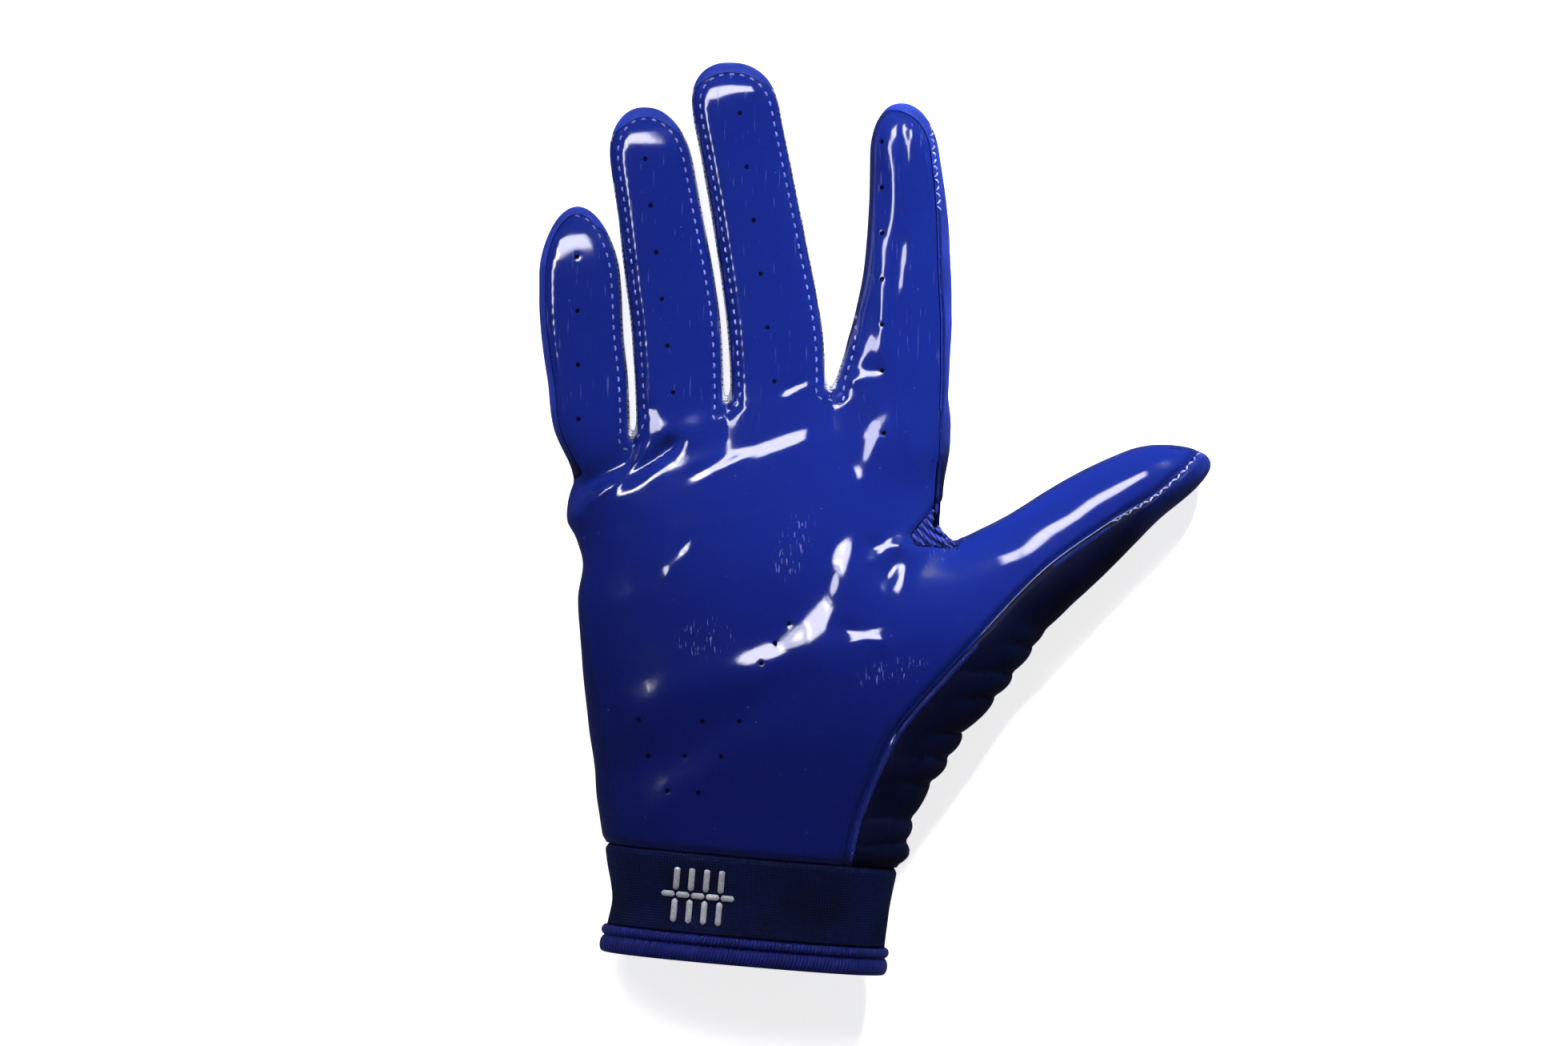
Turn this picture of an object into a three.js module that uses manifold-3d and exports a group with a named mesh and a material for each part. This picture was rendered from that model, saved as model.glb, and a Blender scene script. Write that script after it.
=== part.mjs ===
// Football receiver glove for a right hand, lying on its back with the palm up.
// Millimetres, +Z up. X runs towards the thumb and Y towards the fingertips; the glove rests on Z = 0,
// and X = 0, Y = 0 is the middle of its outline seen from above.
// A moulded glossy palm panel is sewn to a stretch back panel, with a gusset between each two fingers,
// a knit cuff, and a rolled hem. Every panel is a thin wall round one hollow for the hand.
import * as THREE from "three";
import { mergeVertices } from "three/addons/utils/BufferGeometryUtils.js";
import Module from "manifold-3d";

const wasm = await Module();
wasm.setup();

// Driving dimensions
const WALL = 1.5; // thickness of palm, back, gussets and cuff
const SEAM_GAP = 0.3; // open joint between two sewn panels
const FLOOR_SINK = 0.9; // how much of each section's belly the table flattens
const WIDEST = 0.46; // share of a section's height at which it is widest
const UPPER_POWER = 2.3; // superellipse power of a section above its widest line
const LOWER_POWER = 2.9; // and below it, where the glove is squashed
const SKY = 80; // higher than anything on the glove
const OUTSIDE = 120; // and further out

// Fingers: the outline seen from above, a row for each measured section from base to tip.
// left and right are the outline's X, top is the crown's height, seamLeft and seamRight are how far
// inside the outline the palm panel ends; a negative seam means that the panel wraps round the side.
const FINGERS = [
  {
    name: "pinky",
    tipY: 77.9,
    capLength: 17.5,
    capPower: 1.95,
    tipBand: 2.2,
    rows: [
      { y: 8, left: -72.6, right: -62.6, top: 11.0, seamLeft: 1.8, seamRight: 1.8 },
      { y: 14, left: -76.2, right: -61.2, top: 14.2, seamLeft: 1.8, seamRight: 1.8 },
      { y: 22, left: -79.8, right: -60.9, top: 15.2, seamLeft: 1.8, seamRight: 1.8 },
      { y: 34, left: -81.4, right: -61.3, top: 15.0, seamLeft: 1.8, seamRight: 1.8 },
      { y: 46, left: -83.1, right: -62.5, top: 14.6, seamLeft: 1.8, seamRight: 1.8 },
      { y: 58, left: -83.6, right: -63.1, top: 14.2, seamLeft: 1.8, seamRight: 1.8 },
      { y: 78, left: -83.0, right: -65.0, top: 13.0, seamLeft: 1.8, seamRight: 1.8 },
    ],
  },
  {
    name: "ring",
    tipY: 102.7,
    capLength: 14,
    capPower: 2.15,
    tipBand: 2.9,
    rows: [
      { y: 16, left: -59.0, right: -37.6, top: 16.5, seamLeft: 1.8, seamRight: 1.8 },
      { y: 33, left: -59.6, right: -37.4, top: 16.2, seamLeft: 1.8, seamRight: 1.8 },
      { y: 49, left: -60.7, right: -38.2, top: 15.8, seamLeft: 1.8, seamRight: 1.8 },
      { y: 61, left: -62.2, right: -39.9, top: 15.4, seamLeft: 1.8, seamRight: 1.8 },
      { y: 77, left: -64.1, right: -42.9, top: 15.0, seamLeft: 1.8, seamRight: 1.8 },
      { y: 89, left: -65.8, right: -45.1, top: 14.6, seamLeft: 1.8, seamRight: 1.8 },
      { y: 103, left: -67.0, right: -47.6, top: 14.0, seamLeft: 1.8, seamRight: 1.8 },
    ],
  },
  {
    name: "middle",
    tipY: 113.9,
    capLength: 12.5,
    capPower: 2.35,
    tipBand: 3.0,
    rows: [
      { y: 22, left: -35.4, right: -12.2, top: 17.0, seamLeft: 1.8, seamRight: 1.8 },
      { y: 38, left: -35.9, right: -12.0, top: 16.6, seamLeft: 1.8, seamRight: 1.8 },
      { y: 49, left: -36.7, right: -12.9, top: 16.2, seamLeft: 1.8, seamRight: 1.8 },
      { y: 69, left: -39.5, right: -16.7, top: 15.6, seamLeft: 1.8, seamRight: 1.8 },
      { y: 89, left: -42.9, right: -20.7, top: 15.0, seamLeft: 1.8, seamRight: 1.8 },
      { y: 101, left: -45.2, right: -23.1, top: 14.6, seamLeft: 1.8, seamRight: 1.8 },
      { y: 114, left: -46.6, right: -25.4, top: 14.2, seamLeft: 1.8, seamRight: 1.8 },
    ],
  },
  {
    name: "index",
    tipY: 103.7,
    capLength: 13,
    capPower: 2.2,
    tipBand: 2.2,
    wrapsFromY: 50,
    rows: [
      { y: 20, left: -9.8, right: 18.0, top: 17.5, seamLeft: 1.9, seamRight: 2.0 },
      { y: 33, left: -9.6, right: 18.9, top: 17.0, seamLeft: 1.9, seamRight: 2.2 },
      { y: 41, left: -7.3, right: 19.3, top: 16.6, seamLeft: 1.8, seamRight: 2.6 },
      { y: 49, left: -5.1, right: 19.7, top: 16.2, seamLeft: 0.4, seamRight: 3.0 },
      { y: 61, left: -2.5, right: 19.5, top: 15.8, seamLeft: -3.0, seamRight: 3.4 },
      { y: 77, left: -1.1, right: 18.6, top: 15.2, seamLeft: -3.0, seamRight: 3.0 },
      { y: 89, left: -0.8, right: 16.9, top: 14.8, seamLeft: -3.0, seamRight: 2.4 },
      { y: 104, left: -0.6, right: 14.8, top: 14.2, seamLeft: -3.0, seamRight: 2.0 },
    ],
  },
];

// Thumb: the same, in a frame that starts at the origin and is turned by THUMB_TURN. s runs along the thumb,
// upper and lower are the outline's two sides across it.
const THUMB_TURN = THREE.MathUtils.degToRad(34);
const THUMB = {
  tipS: 78,
  capLength: 16,
  capPower: 2.1,
  rows: [
    { s: -6, upper: -17.5, lower: -44.0, top: 22.0 },
    { s: 10, upper: -16.2, lower: -46.4, top: 22.0 },
    { s: 20, upper: -17.3, lower: -47.2, top: 21.0 },
    { s: 30, upper: -18.4, lower: -45.7, top: 20.0 },
    { s: 40, upper: -18.7, lower: -44.2, top: 19.0 },
    { s: 50, upper: -19.5, lower: -42.2, top: 18.0 },
    { s: 60, upper: -21.2, lower: -40.3, top: 17.0 },
    { s: 70, upper: -23.6, lower: -40.0, top: 16.0 },
    { s: 79, upper: -26.0, lower: -40.5, top: 15.0 },
  ],
};

// Palm and wrist: the outline by true Y, and the crown's height.
const PALM_ROWS = [
  { y: -96, left: -66.4, right: 5.8, top: 27.4 },
  { y: -88, left: -66.8, right: 6.6, top: 27.6 },
  { y: -83, left: -67.2, right: 7.4, top: 28.0 },
  { y: -78, left: -67.8, right: 7.9, top: 27.6 },
  { y: -70, left: -69.0, right: 11.2, top: 26.8 },
  { y: -62, left: -69.6, right: 16.6, top: 26.2 },
  { y: -54, left: -70.8, right: 21.6, top: 25.8 },
  { y: -46, left: -71.8, right: 28.8, top: 25.4 },
  { y: -38, left: -72.6, right: 34.6, top: 25.0 },
  { y: -30, left: -73.2, right: 38.0, top: 24.4 },
  { y: -20, left: -73.8, right: 30.0, top: 23.6 },
  { y: -12, left: -72.6, right: 20.0, top: 22.8 },
  { y: -6, left: -74.0, right: 17.2, top: 22.0 },
  { y: -1, left: -76.4, right: 17.0, top: 21.4 },
  { y: 4, left: -76.4, right: 17.4, top: 20.6 },
  { y: 10, left: -74.9, right: 17.8, top: 19.8 },
  { y: 16, left: -77.6, right: 18.3, top: 18.6 },
  { y: 22, left: -79.6, right: 18.5, top: 16.8 },
  { y: 30, left: -80.6, right: 18.7, top: 15.2 },
];

// The palm ends in an arc through the three finger crotches.
const KNUCKLE_ARC = { at: -30, height: 29.9, slope: 0.19, bend: -0.00496 };
const ARC_STARTS_Y = -18;

// Soft relief of the palm: broad mounds of flesh and long folds across it.
const MOUNDS = [
  { x: 8, y: -32, reachX: 30, reachY: 26, height: 4.2 },
  { x: -58, y: -46, reachX: 18, reachY: 30, height: 1.4 },
  { x: -38, y: -14, reachX: 24, reachY: 18, height: -2.6 },
  { x: 4, y: 14, reachX: 14, reachY: 11, height: 1.6 },
];
const FOLDS = [
  { x1: -78, y1: 9.0, x2: -54, y2: 16.5, width: 4.8, height: -3.8 },
  { x1: -74, y1: 1.5, x2: -48, y2: 19.5, width: 4.2, height: 2.6 },
  { x1: -47, y1: 8.5, x2: -17, y2: 18.5, width: 5.2, height: 2.0 },
  { x1: -76, y1: -8.5, x2: -50, y2: -2.0, width: 4.6, height: -1.8 },
  { x1: -65, y1: -43.0, x2: -42, y2: -12.5, width: 9.0, height: -1.6 },
  { x1: -58, y1: -48.5, x2: -21, y2: -35.5, width: 5.2, height: 2.0 },
  { x1: -66, y1: -68.5, x2: -22, y2: -43.5, width: 5.6, height: -2.4 },
  { x1: -61, y1: -75.5, x2: -11, y2: -43.5, width: 6.2, height: 1.8 },
];

// Quilted ribs of the back panel, where they show along the thumb side of the hand.
// They stand out in full beyond the second share of the half width, and not at all within the first.
const RIB = { pitch: 7, notchY: -38.3, height: 1.7, fromY: -84, toY: -30, fade: 5, shares: [0.55, 0.95] };

// The long seam between palm and back, from the thumb's tip to the cuff.
const THUMB_SEAM = [
  { x: 96, y: 24 },
  { x: 82.5, y: 17.0 },
  { x: 77.0, y: 11.6 },
  { x: 69.7, y: 5.3 },
  { x: 57.7, y: -2.1 },
  { x: 41.7, y: -13.7 },
  { x: 24.7, y: -31.3 },
  { x: 7.7, y: -50.1 },
  { x: 1.3, y: -61.3 },
  { x: -3.9, y: -73.7 },
  { x: -6.5, y: -84.0 },
  { x: -9.0, y: -98.0 },
];
const PALM_WRAP_Z = 6.5; // height at which the palm panel ends where it wraps round a side
const STRIP_OVERLAP = 6; // how far a finger's strip of the palm panel runs back into the palm
const WRAP_REACH = 3; // how far a wrapped strip's cut reaches past the outline
const SEAM_SHARE = 0.62; // share of a finger's height down to which its strip reaches inside the seam
const THUMB_SEAM_Z = 11; // height of the palm panel's lower edge along the thumb's seam
const THUMB_WRAP_INSET = 3; // how far inside that seam the panel may reach lower
const INDEX_FOOT = { seam: 2.2, wrap: 7 }; // the same two insets beside the foot of the index finger
const PINKY_SEAM_ENDS_Y = 12.5; // below this the palm panel wraps round the pinky side
const CROTCH_PATCH = { x: 16.6, y: -3.4, reach: 7.5, rise: 7.0 };

// Finger gussets: height of their lower edge, and how far before the shorter tip they end.
const GUSSET_FROM_Z = 4;
const GUSSET_BEFORE_TIP = 7;
const GUSSET_BELOW_CROTCH = 4;
const CROTCH_SEAM = 1.9; // how far inside each crotch the palm panel ends

// Cuff, in a frame turned with the wrist: v runs up the arm's axis, left and right across it.
const CUFF_CENTRE = { x: -30.4, y: -84.2 };
const CUFF_TURN = THREE.MathUtils.degToRad(-5);
const CUFF_ROWS = [
  { v: 0, left: -36.6, right: 36.5, top: 27.6 },
  { v: -5, left: -35.6, right: 35.9, top: 26.8 },
  { v: -10, left: -34.4, right: 35.5, top: 26.2 },
  { v: -14, left: -33.8, right: 35.4, top: 26.0 },
  { v: -20, left: -34.4, right: 35.1, top: 26.2 },
  { v: -28, left: -34.8, right: 34.9, top: 26.6 },
];
const CUFF_LENGTH = 19.9;
const CUFF_LIFT = 0.9; // the hem holds the cuff this far off the table
const PIPING = { from: -20.2, to: -22.6 };
const BINDING = { from: -22.9, to: -26.9 };
const ROLL = { edge: 0.2, crown: 1.0 }; // how far a rolled tape stands out at its edges, and more at its crown
const ARM_HOLE = { from: 8, to: -34 };

// Plain laced-seam figure printed on the cuff: one long bar crossed by short ones.
// It is cut from a skin over the cuff's face, above fromZ.
const LACE = { u: -12.4, v: -10.6, length: 19, bar: 1.9, cross: 9, count: 5, pitch: 3.8, thick: 0.4, fromZ: 13 };

const { lerp, inverseLerp, clamp, smoothstep } = THREE.MathUtils;

// Value of a table's column at a place, on a smooth curve through its rows.
function column(rows, key, by, place) {
  const last = rows.length - 1;
  let i = 0;
  while (i < last - 1 && place > rows[i + 1][by]) i += 1;
  const a = rows[i];
  const b = rows[i + 1];
  const before = rows[Math.max(i - 1, 0)];
  const after = rows[Math.min(i + 2, last)];
  const span = b[by] - a[by];
  const t = clamp((place - a[by]) / span, 0, 1);
  const slopeA = ((b[key] - before[key]) / Math.max(b[by] - before[by], 1e-9)) * span;
  const slopeB = ((after[key] - a[key]) / Math.max(after[by] - a[by], 1e-9)) * span;
  const t2 = t * t;
  const t3 = t2 * t;
  return (
    (2 * t3 - 3 * t2 + 1) * a[key] + (t3 - 2 * t2 + t) * slopeA + (3 * t2 - 2 * t3) * b[key] + (t3 - t2) * slopeB
  );
}

const ascending = (rows, by) => [...rows].sort((a, b) => a[by] - b[by]);

// One closed outline round a section, as { across: -1..1, up: -1..1 }, with so many steps above its
// widest line and so many below it.
function outline({ over, under }) {
  return Array.from({ length: over + under }, (_, i) => {
    const angle = i < over ? (Math.PI * (i + 0.5)) / over : Math.PI + (Math.PI * (i - over + 0.5)) / under;
    const c = Math.cos(angle);
    const s = Math.sin(angle);
    const power = s > 0 ? UPPER_POWER : LOWER_POWER;
    return {
      across: Math.sign(c) * Math.abs(c) ** (2 / power),
      up: Math.sign(s) * Math.abs(s) ** (2 / power),
    };
  });
}

// A solid through rings of points, all of one length, with a flat fan at each end.
function loft(rings) {
  const sides = rings[0].length;
  const points = rings.flat();
  const faces = [];
  for (let r = 0; r + 1 < rings.length; r += 1) {
    for (let i = 0; i < sides; i += 1) {
      const a = r * sides + i;
      const b = r * sides + ((i + 1) % sides);
      faces.push(a, b, b + sides, a, b + sides, a + sides);
    }
  }
  const capEnd = (start, flip) => {
    const centre = new THREE.Vector3();
    for (let i = 0; i < sides; i += 1) centre.addScaledVector(points[start + i], 1 / sides);
    const hub = points.push(centre) - 1;
    for (let i = 0; i < sides; i += 1) {
      const a = start + i;
      const b = start + ((i + 1) % sides);
      faces.push(...(flip ? [b, a, hub] : [a, b, hub]));
    }
  };
  capEnd(0, true);
  capEnd((rings.length - 1) * sides, false);
  const places = new Float32Array(points.flatMap((p) => [p.x, p.y, p.z]));
  const made = solidFrom(places, new Uint32Array(faces));
  return made.volume() > 0 ? made : solidFrom(places, new Uint32Array(faces).reverse());
}

function solidFrom(vertProperties, triVerts) {
  return new wasm.Manifold(new wasm.Mesh({ numProp: 3, vertProperties, triVerts }));
}

// A three.js geometry as a solid.
function solidOf(geometry) {
  const bare = geometry.clone();
  bare.deleteAttribute("normal");
  bare.deleteAttribute("uv");
  const merged = mergeVertices(bare, 1e-4);
  return solidFrom(merged.attributes.position.array, new Uint32Array(merged.index.array));
}

// A flat outline of { x, y } points raised to one height, from a height given for each Y.
function prism(points, fromZ, toZ) {
  const shape = new THREE.Shape(points.map((p) => new THREE.Vector2(p.x, p.y)));
  const geometry = new THREE.ExtrudeGeometry(shape, { depth: toZ, bevelEnabled: false });
  const place = geometry.attributes.position;
  for (let i = 0; i < place.count; i += 1) {
    if (place.getZ(i) < toZ / 2) place.setZ(i, fromZ(place.getY(i)));
  }
  return solidOf(geometry);
}

// Everything above a height.
function above(z) {
  return solidOf(new THREE.BoxGeometry(4 * OUTSIDE, 4 * OUTSIDE, SKY).translate(0, 0, z + SKY / 2));
}

const joined = (solids) => solids.reduce((all, one) => all.add(one));

// Relief of the palm at a point seen from above.
function relief(x, y) {
  let z = 0;
  for (const m of MOUNDS) {
    z += m.height * Math.exp(-(((x - m.x) / m.reachX) ** 2) - ((y - m.y) / m.reachY) ** 2);
  }
  for (const f of FOLDS) {
    const dx = f.x2 - f.x1;
    const dy = f.y2 - f.y1;
    const long = Math.hypot(dx, dy);
    const along = ((x - f.x1) * dx + (y - f.y1) * dy) / long;
    const aside = ((x - f.x1) * dy - (y - f.y1) * dx) / long;
    const beyond = Math.max(0, -along, along - long);
    z += f.height * Math.exp(-((aside / f.width) ** 2) - (beyond / (1.5 * f.width)) ** 2);
  }
  return z;
}

// How far the ribs of the back stand out at a height along the hand.
function rib(y) {
  const wave = Math.abs(Math.sin((Math.PI * (y - RIB.notchY)) / RIB.pitch)) ** 0.7;
  const shown = smoothstep(y, RIB.fromY - RIB.fade, RIB.fromY) * (1 - smoothstep(y, RIB.toY, RIB.toY + RIB.fade));
  return RIB.height * wave * shown;
}

const knuckleY = (x) => {
  const d = x - KNUCKLE_ARC.at;
  return KNUCKLE_ARC.height + KNUCKLE_ARC.slope * d + KNUCKLE_ARC.bend * d * d;
};
const bowedY = (y, x) => {
  const share = smoothstep(y, ARC_STARTS_Y, KNUCKLE_ARC.height);
  return y + share * (knuckleY(x) - KNUCKLE_ARC.height);
};

// Heights of a section's points, squashed where it rests.
function sectionZ(up, top, shrink, scale) {
  const floor = -FLOOR_SINK + shrink;
  const crown = top - shrink;
  const widest = floor + (crown - floor) * WIDEST;
  const reach = up > 0 ? crown - widest : widest - floor;
  return widest + up * reach * scale;
}

// How much of its full section a finger or thumb still has, near its domed tip.
function domeScale(place, tip, capLength, power) {
  const t = clamp((place - (tip - capLength)) / capLength, 0, 0.998);
  return (1 - t ** power) ** (1 / power);
}

// Places along a tube: even over the shaft, then closer round the dome.
function stations(from, tip, capLength, shaftSteps, domeSteps) {
  const shoulder = tip - capLength;
  const shaft = Array.from({ length: shaftSteps }, (_, i) => lerp(from, shoulder, i / shaftSteps));
  const dome = Array.from(
    { length: domeSteps + 1 },
    (_, i) => shoulder + capLength * 0.998 * Math.sin((Math.PI / 2) * (i / domeSteps)),
  );
  return [...shaft, ...dome];
}

function fingerSolid(finger, shrink, sides, shaftSteps, domeSteps) {
  const tip = finger.tipY - shrink;
  const rings = stations(finger.rows[0].y, tip, finger.capLength, shaftSteps, domeSteps).map((y) => {
    const scale = domeScale(y, tip, finger.capLength, finger.capPower);
    const left = column(finger.rows, "left", "y", y) + shrink;
    const right = column(finger.rows, "right", "y", y) - shrink;
    const top = column(finger.rows, "top", "y", y);
    return outline(sides).map(
      (p) =>
        new THREE.Vector3(
          (left + right) / 2 + (p.across * scale * (right - left)) / 2,
          y,
          sectionZ(p.up, top, shrink, scale),
        ),
    );
  });
  return loft(rings);
}

function thumbSolid(shrink, sides, shaftSteps, domeSteps) {
  const tip = THUMB.tipS - shrink;
  const rings = stations(THUMB.rows[0].s, tip, THUMB.capLength, shaftSteps, domeSteps).map((s) => {
    const scale = domeScale(s, tip, THUMB.capLength, THUMB.capPower);
    const upper = column(THUMB.rows, "upper", "s", s) - shrink;
    const lower = column(THUMB.rows, "lower", "s", s) + shrink;
    const top = column(THUMB.rows, "top", "s", s);
    return outline(sides).map((p) => {
      const across = (upper + lower) / 2 - (p.across * scale * (upper - lower)) / 2;
      const point = new THREE.Vector3(s, across, sectionZ(p.up, top, shrink, scale));
      return point.applyAxisAngle(new THREE.Vector3(0, 0, 1), THUMB_TURN);
    });
  });
  return loft(rings);
}

function palmSolid(shrink, sides, ys) {
  const rings = ys.map((row) => {
    const left = column(PALM_ROWS, "left", "y", bowedY(row, -76)) + shrink;
    const right = column(PALM_ROWS, "right", "y", bowedY(row, 18)) - shrink;
    const top = column(PALM_ROWS, "top", "y", row);
    return outline(sides).map((p) => {
      const x = (left + right) / 2 + (p.across * (right - left)) / 2;
      const y = bowedY(row, x);
      const crest = clamp(p.up, 0, 1) ** 0.5;
      const side = shrink > 0 ? 0 : rib(y) * clamp(inverseLerp(...RIB.shares, p.across), 0, 1);
      return new THREE.Vector3(x + side, y, sectionZ(p.up, top, shrink, 1) + crest * relief(x, y));
    });
  });
  return loft(rings);
}

// Cuff-like ring of the wrist between two heights, standing out by so much.
function wristSolid(from, to, proud, steps, sides) {
  const rows = ascending(CUFF_ROWS, "v");
  const rings = Array.from({ length: steps + 1 }, (_, i) => {
    const v = lerp(from, to, i / steps);
    const out = proud(i / steps);
    const left = column(rows, "left", "v", v) - out;
    const right = column(rows, "right", "v", v) + out;
    const crown = column(rows, "top", "v", v) + out;
    const floor = CUFF_LIFT - out;
    const widest = floor + (crown - floor) * WIDEST;
    return outline(sides).map((p) => {
      const reach = p.up > 0 ? crown - widest : widest - floor;
      const point = new THREE.Vector3(
        (left + right) / 2 + (p.across * (right - left)) / 2,
        v,
        widest + p.up * reach,
      );
      return point
        .applyAxisAngle(new THREE.Vector3(0, 0, 1), CUFF_TURN)
        .add(new THREE.Vector3(CUFF_CENTRE.x, CUFF_CENTRE.y, 0));
    });
  });
  return loft(rings);
}

// A box placed in the cuff's turned frame.
function cuffBox(wide, long, high, u, v, z) {
  const box = new THREE.BoxGeometry(wide, long, high).translate(u, v, z);
  return solidOf(box.rotateZ(CUFF_TURN).translate(CUFF_CENTRE.x, CUFF_CENTRE.y, 0));
}

// Evenly spaced places from one to another, at most so far apart.
function spaced(from, to, apart) {
  const count = Math.ceil(Math.abs(to - from) / apart);
  return Array.from({ length: count + 1 }, (_, i) => lerp(from, to, i / count));
}

// The hand's whole form, solid, or smaller by the wall for its hollow.
const WRIST_END_Y = -96; // past the cuff's seam, so that its slanting cut leaves nothing over
const palmYs = (from, to, ribSteps) => [
  from,
  ...spaced(RIB.notchY - 7 * RIB.pitch, RIB.notchY + RIB.pitch, RIB.pitch / ribSteps),
  ...spaced(-27, to, 4.8),
];
const outerForm = joined([
  palmSolid(0, { over: 18, under: 6 }, palmYs(WRIST_END_Y, KNUCKLE_ARC.height, 2)),
  thumbSolid(0, { over: 11, under: 4 }, 5, 4),
  ...FINGERS.map((finger) => fingerSolid(finger, 0, { over: 9, under: 4 }, 4, 4)),
]).intersect(above(0));
const hollowForm = joined([
  palmSolid(WALL, { over: 18, under: 4 }, palmYs(WRIST_END_Y - 4, KNUCKLE_ARC.height - WALL, 1)),
  thumbSolid(WALL, { over: 8, under: 3 }, 4, 3),
  ...FINGERS.map((finger) => fingerSolid(finger, WALL, { over: 7, under: 3 }, 3, 3)),
]).intersect(above(WALL));
const fingersSide = cuffBox(4 * OUTSIDE, 4 * OUTSIDE, 4 * OUTSIDE, 0, 2 * OUTSIDE + SEAM_GAP, 0);
const shell = outerForm.subtract(hollowForm).intersect(fingersSide);

// Seam of the thumb and wrist, as a smooth line moved sideways by so much.
function thumbSeam(grow) {
  const curve = new THREE.CatmullRomCurve3(THUMB_SEAM.map((p) => new THREE.Vector3(p.x, p.y, 0)));
  return curve.getSpacedPoints(14).map((p, i, all) => {
    const ahead = all[Math.min(i + 1, all.length - 1)];
    const behind = all[Math.max(i - 1, 0)];
    const along = ahead.clone().sub(behind).normalize();
    return { x: p.x - along.y * grow, y: p.y + along.x * grow };
  });
}

// Strip of the palm panel that covers one finger's front, grown by so much on every side. Its lower edge
// is where the side of the finger turns upright.
function fingerPanel(finger, grow) {
  const { rows, tipY, tipBand, capLength, capPower } = finger;
  const tip = tipY - tipBand + grow;
  const edge = stations(rows[0].y - STRIP_OVERLAP, tip, capLength - tipBand, 4, 4).map((y) => {
    const scale = domeScale(y, tip, capLength - tipBand, capPower);
    const left = column(rows, "left", "y", y) + column(rows, "seamLeft", "y", y) - grow;
    const right = column(rows, "right", "y", y) - column(rows, "seamRight", "y", y) + grow;
    return { y, middle: (left + right) / 2, half: (scale * (right - left)) / 2 };
  });
  const strip = prism(
    [
      ...edge.map((e) => ({ x: e.middle + e.half, y: e.y })),
      ...[...edge].reverse().map((e) => ({ x: e.middle - e.half, y: e.y })),
    ],
    (y) => SEAM_SHARE * column(rows, "top", "y", y) - grow,
    SKY,
  );
  if (!finger.wrapsFromY) return strip;
  const sideEnds = [finger.wrapsFromY - grow, tipY - tipBand - 2 + grow];
  const out = -WRAP_REACH - grow;
  const wrap = prism(
    [
      ...sideEnds.map((y) => ({ x: (column(rows, "left", "y", y) + column(rows, "right", "y", y)) / 2, y })),
      ...[...sideEnds].reverse().map((y) => ({ x: column(rows, "left", "y", y) + out, y })),
    ],
    () => PALM_WRAP_Z - grow,
    SKY,
  );
  return strip.add(wrap);
}

// The body of the palm panel seen from above, down to one height: grown by so much, but moved in by so
// much along the thumb's seam and the foot of the index finger.
function palmBody(grow, { seamInset, sideInset, fromZ }) {
  const seam = thumbSeam(grow - seamInset).reverse();
  const side = [-3, 6, 18].map((y) => ({ x: column(PALM_ROWS, "right", "y", y) - sideInset + grow, y }));
  const knuckles = spaced(10, -70, 16).map((x) => ({ x, y: knuckleY(x) - CROTCH_SEAM + grow }));
  return prism(
    [
      { x: -OUTSIDE, y: -OUTSIDE },
      { x: seam[0].x, y: -OUTSIDE },
      ...seam,
      { x: OUTSIDE, y: 40 },
      { x: 30, y: 14 },
      { x: 19, y: -3 },
      ...side,
      ...knuckles,
      { x: -OUTSIDE, y: PINKY_SEAM_ENDS_Y + grow },
    ],
    () => fromZ - grow,
    SKY,
  );
}

// All that belongs to the palm panel. Along the thumb's seam it ends high, and it wraps round elsewhere.
const palmRegion = (grow) =>
  joined([
    palmBody(grow, { seamInset: 0, sideInset: INDEX_FOOT.seam, fromZ: THUMB_SEAM_Z }),
    palmBody(grow, { seamInset: THUMB_WRAP_INSET, sideInset: INDEX_FOOT.wrap, fromZ: PALM_WRAP_Z }),
    ...FINGERS.map((finger) => fingerPanel(finger, grow)),
  ]);

// Small knit triangle let into the crotch of the thumb.
function crotchPatchRegion(grow) {
  const { x, y, reach, rise } = CROTCH_PATCH;
  return prism(
    [
      { x: x + 4, y: y - 4 - grow },
      { x: x + 4, y: y + rise + grow },
      { x: x - 0.5 - grow, y: y + rise + grow },
      { x: x - reach - grow, y: y - 1 },
      { x: x - reach + 1.5, y: y - 3.6 - grow },
    ],
    () => PALM_WRAP_Z - grow,
    SKY,
  );
}

// Region of one finger gusset: from the middle of one finger to the middle of the next.
function gussetRegion(a, b, grow) {
  const middle = (finger, y) => (column(finger.rows, "left", "y", y) + column(finger.rows, "right", "y", y)) / 2;
  const seamX = (a.rows[2].right + b.rows[2].left) / 2;
  const from = knuckleY(seamX) - GUSSET_BELOW_CROTCH - grow;
  const ysA = spaced(from, a.tipY - GUSSET_BEFORE_TIP + grow, 12);
  const ysB = spaced(from, b.tipY - GUSSET_BEFORE_TIP + grow, 12);
  return prism(
    [...ysB.map((y) => ({ x: middle(b, y), y })), ...[...ysA].reverse().map((y) => ({ x: middle(a, y), y }))],
    () => GUSSET_FROM_Z - grow,
    SKY,
  );
}

const patch = shell.intersect(crotchPatchRegion(0));
const palm = shell.intersect(palmRegion(0)).subtract(crotchPatchRegion(SEAM_GAP));
const sides = shell.subtract(palmRegion(SEAM_GAP)).subtract(crotchPatchRegion(SEAM_GAP));
const pairs = FINGERS.slice(1).map((finger, i) => [FINGERS[i], finger]);
const gussets = pairs.map(([a, b]) => sides.intersect(gussetRegion(a, b, 0)));
const back = pairs.reduce((rest, [a, b]) => rest.subtract(gussetRegion(a, b, SEAM_GAP)), sides);

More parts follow.
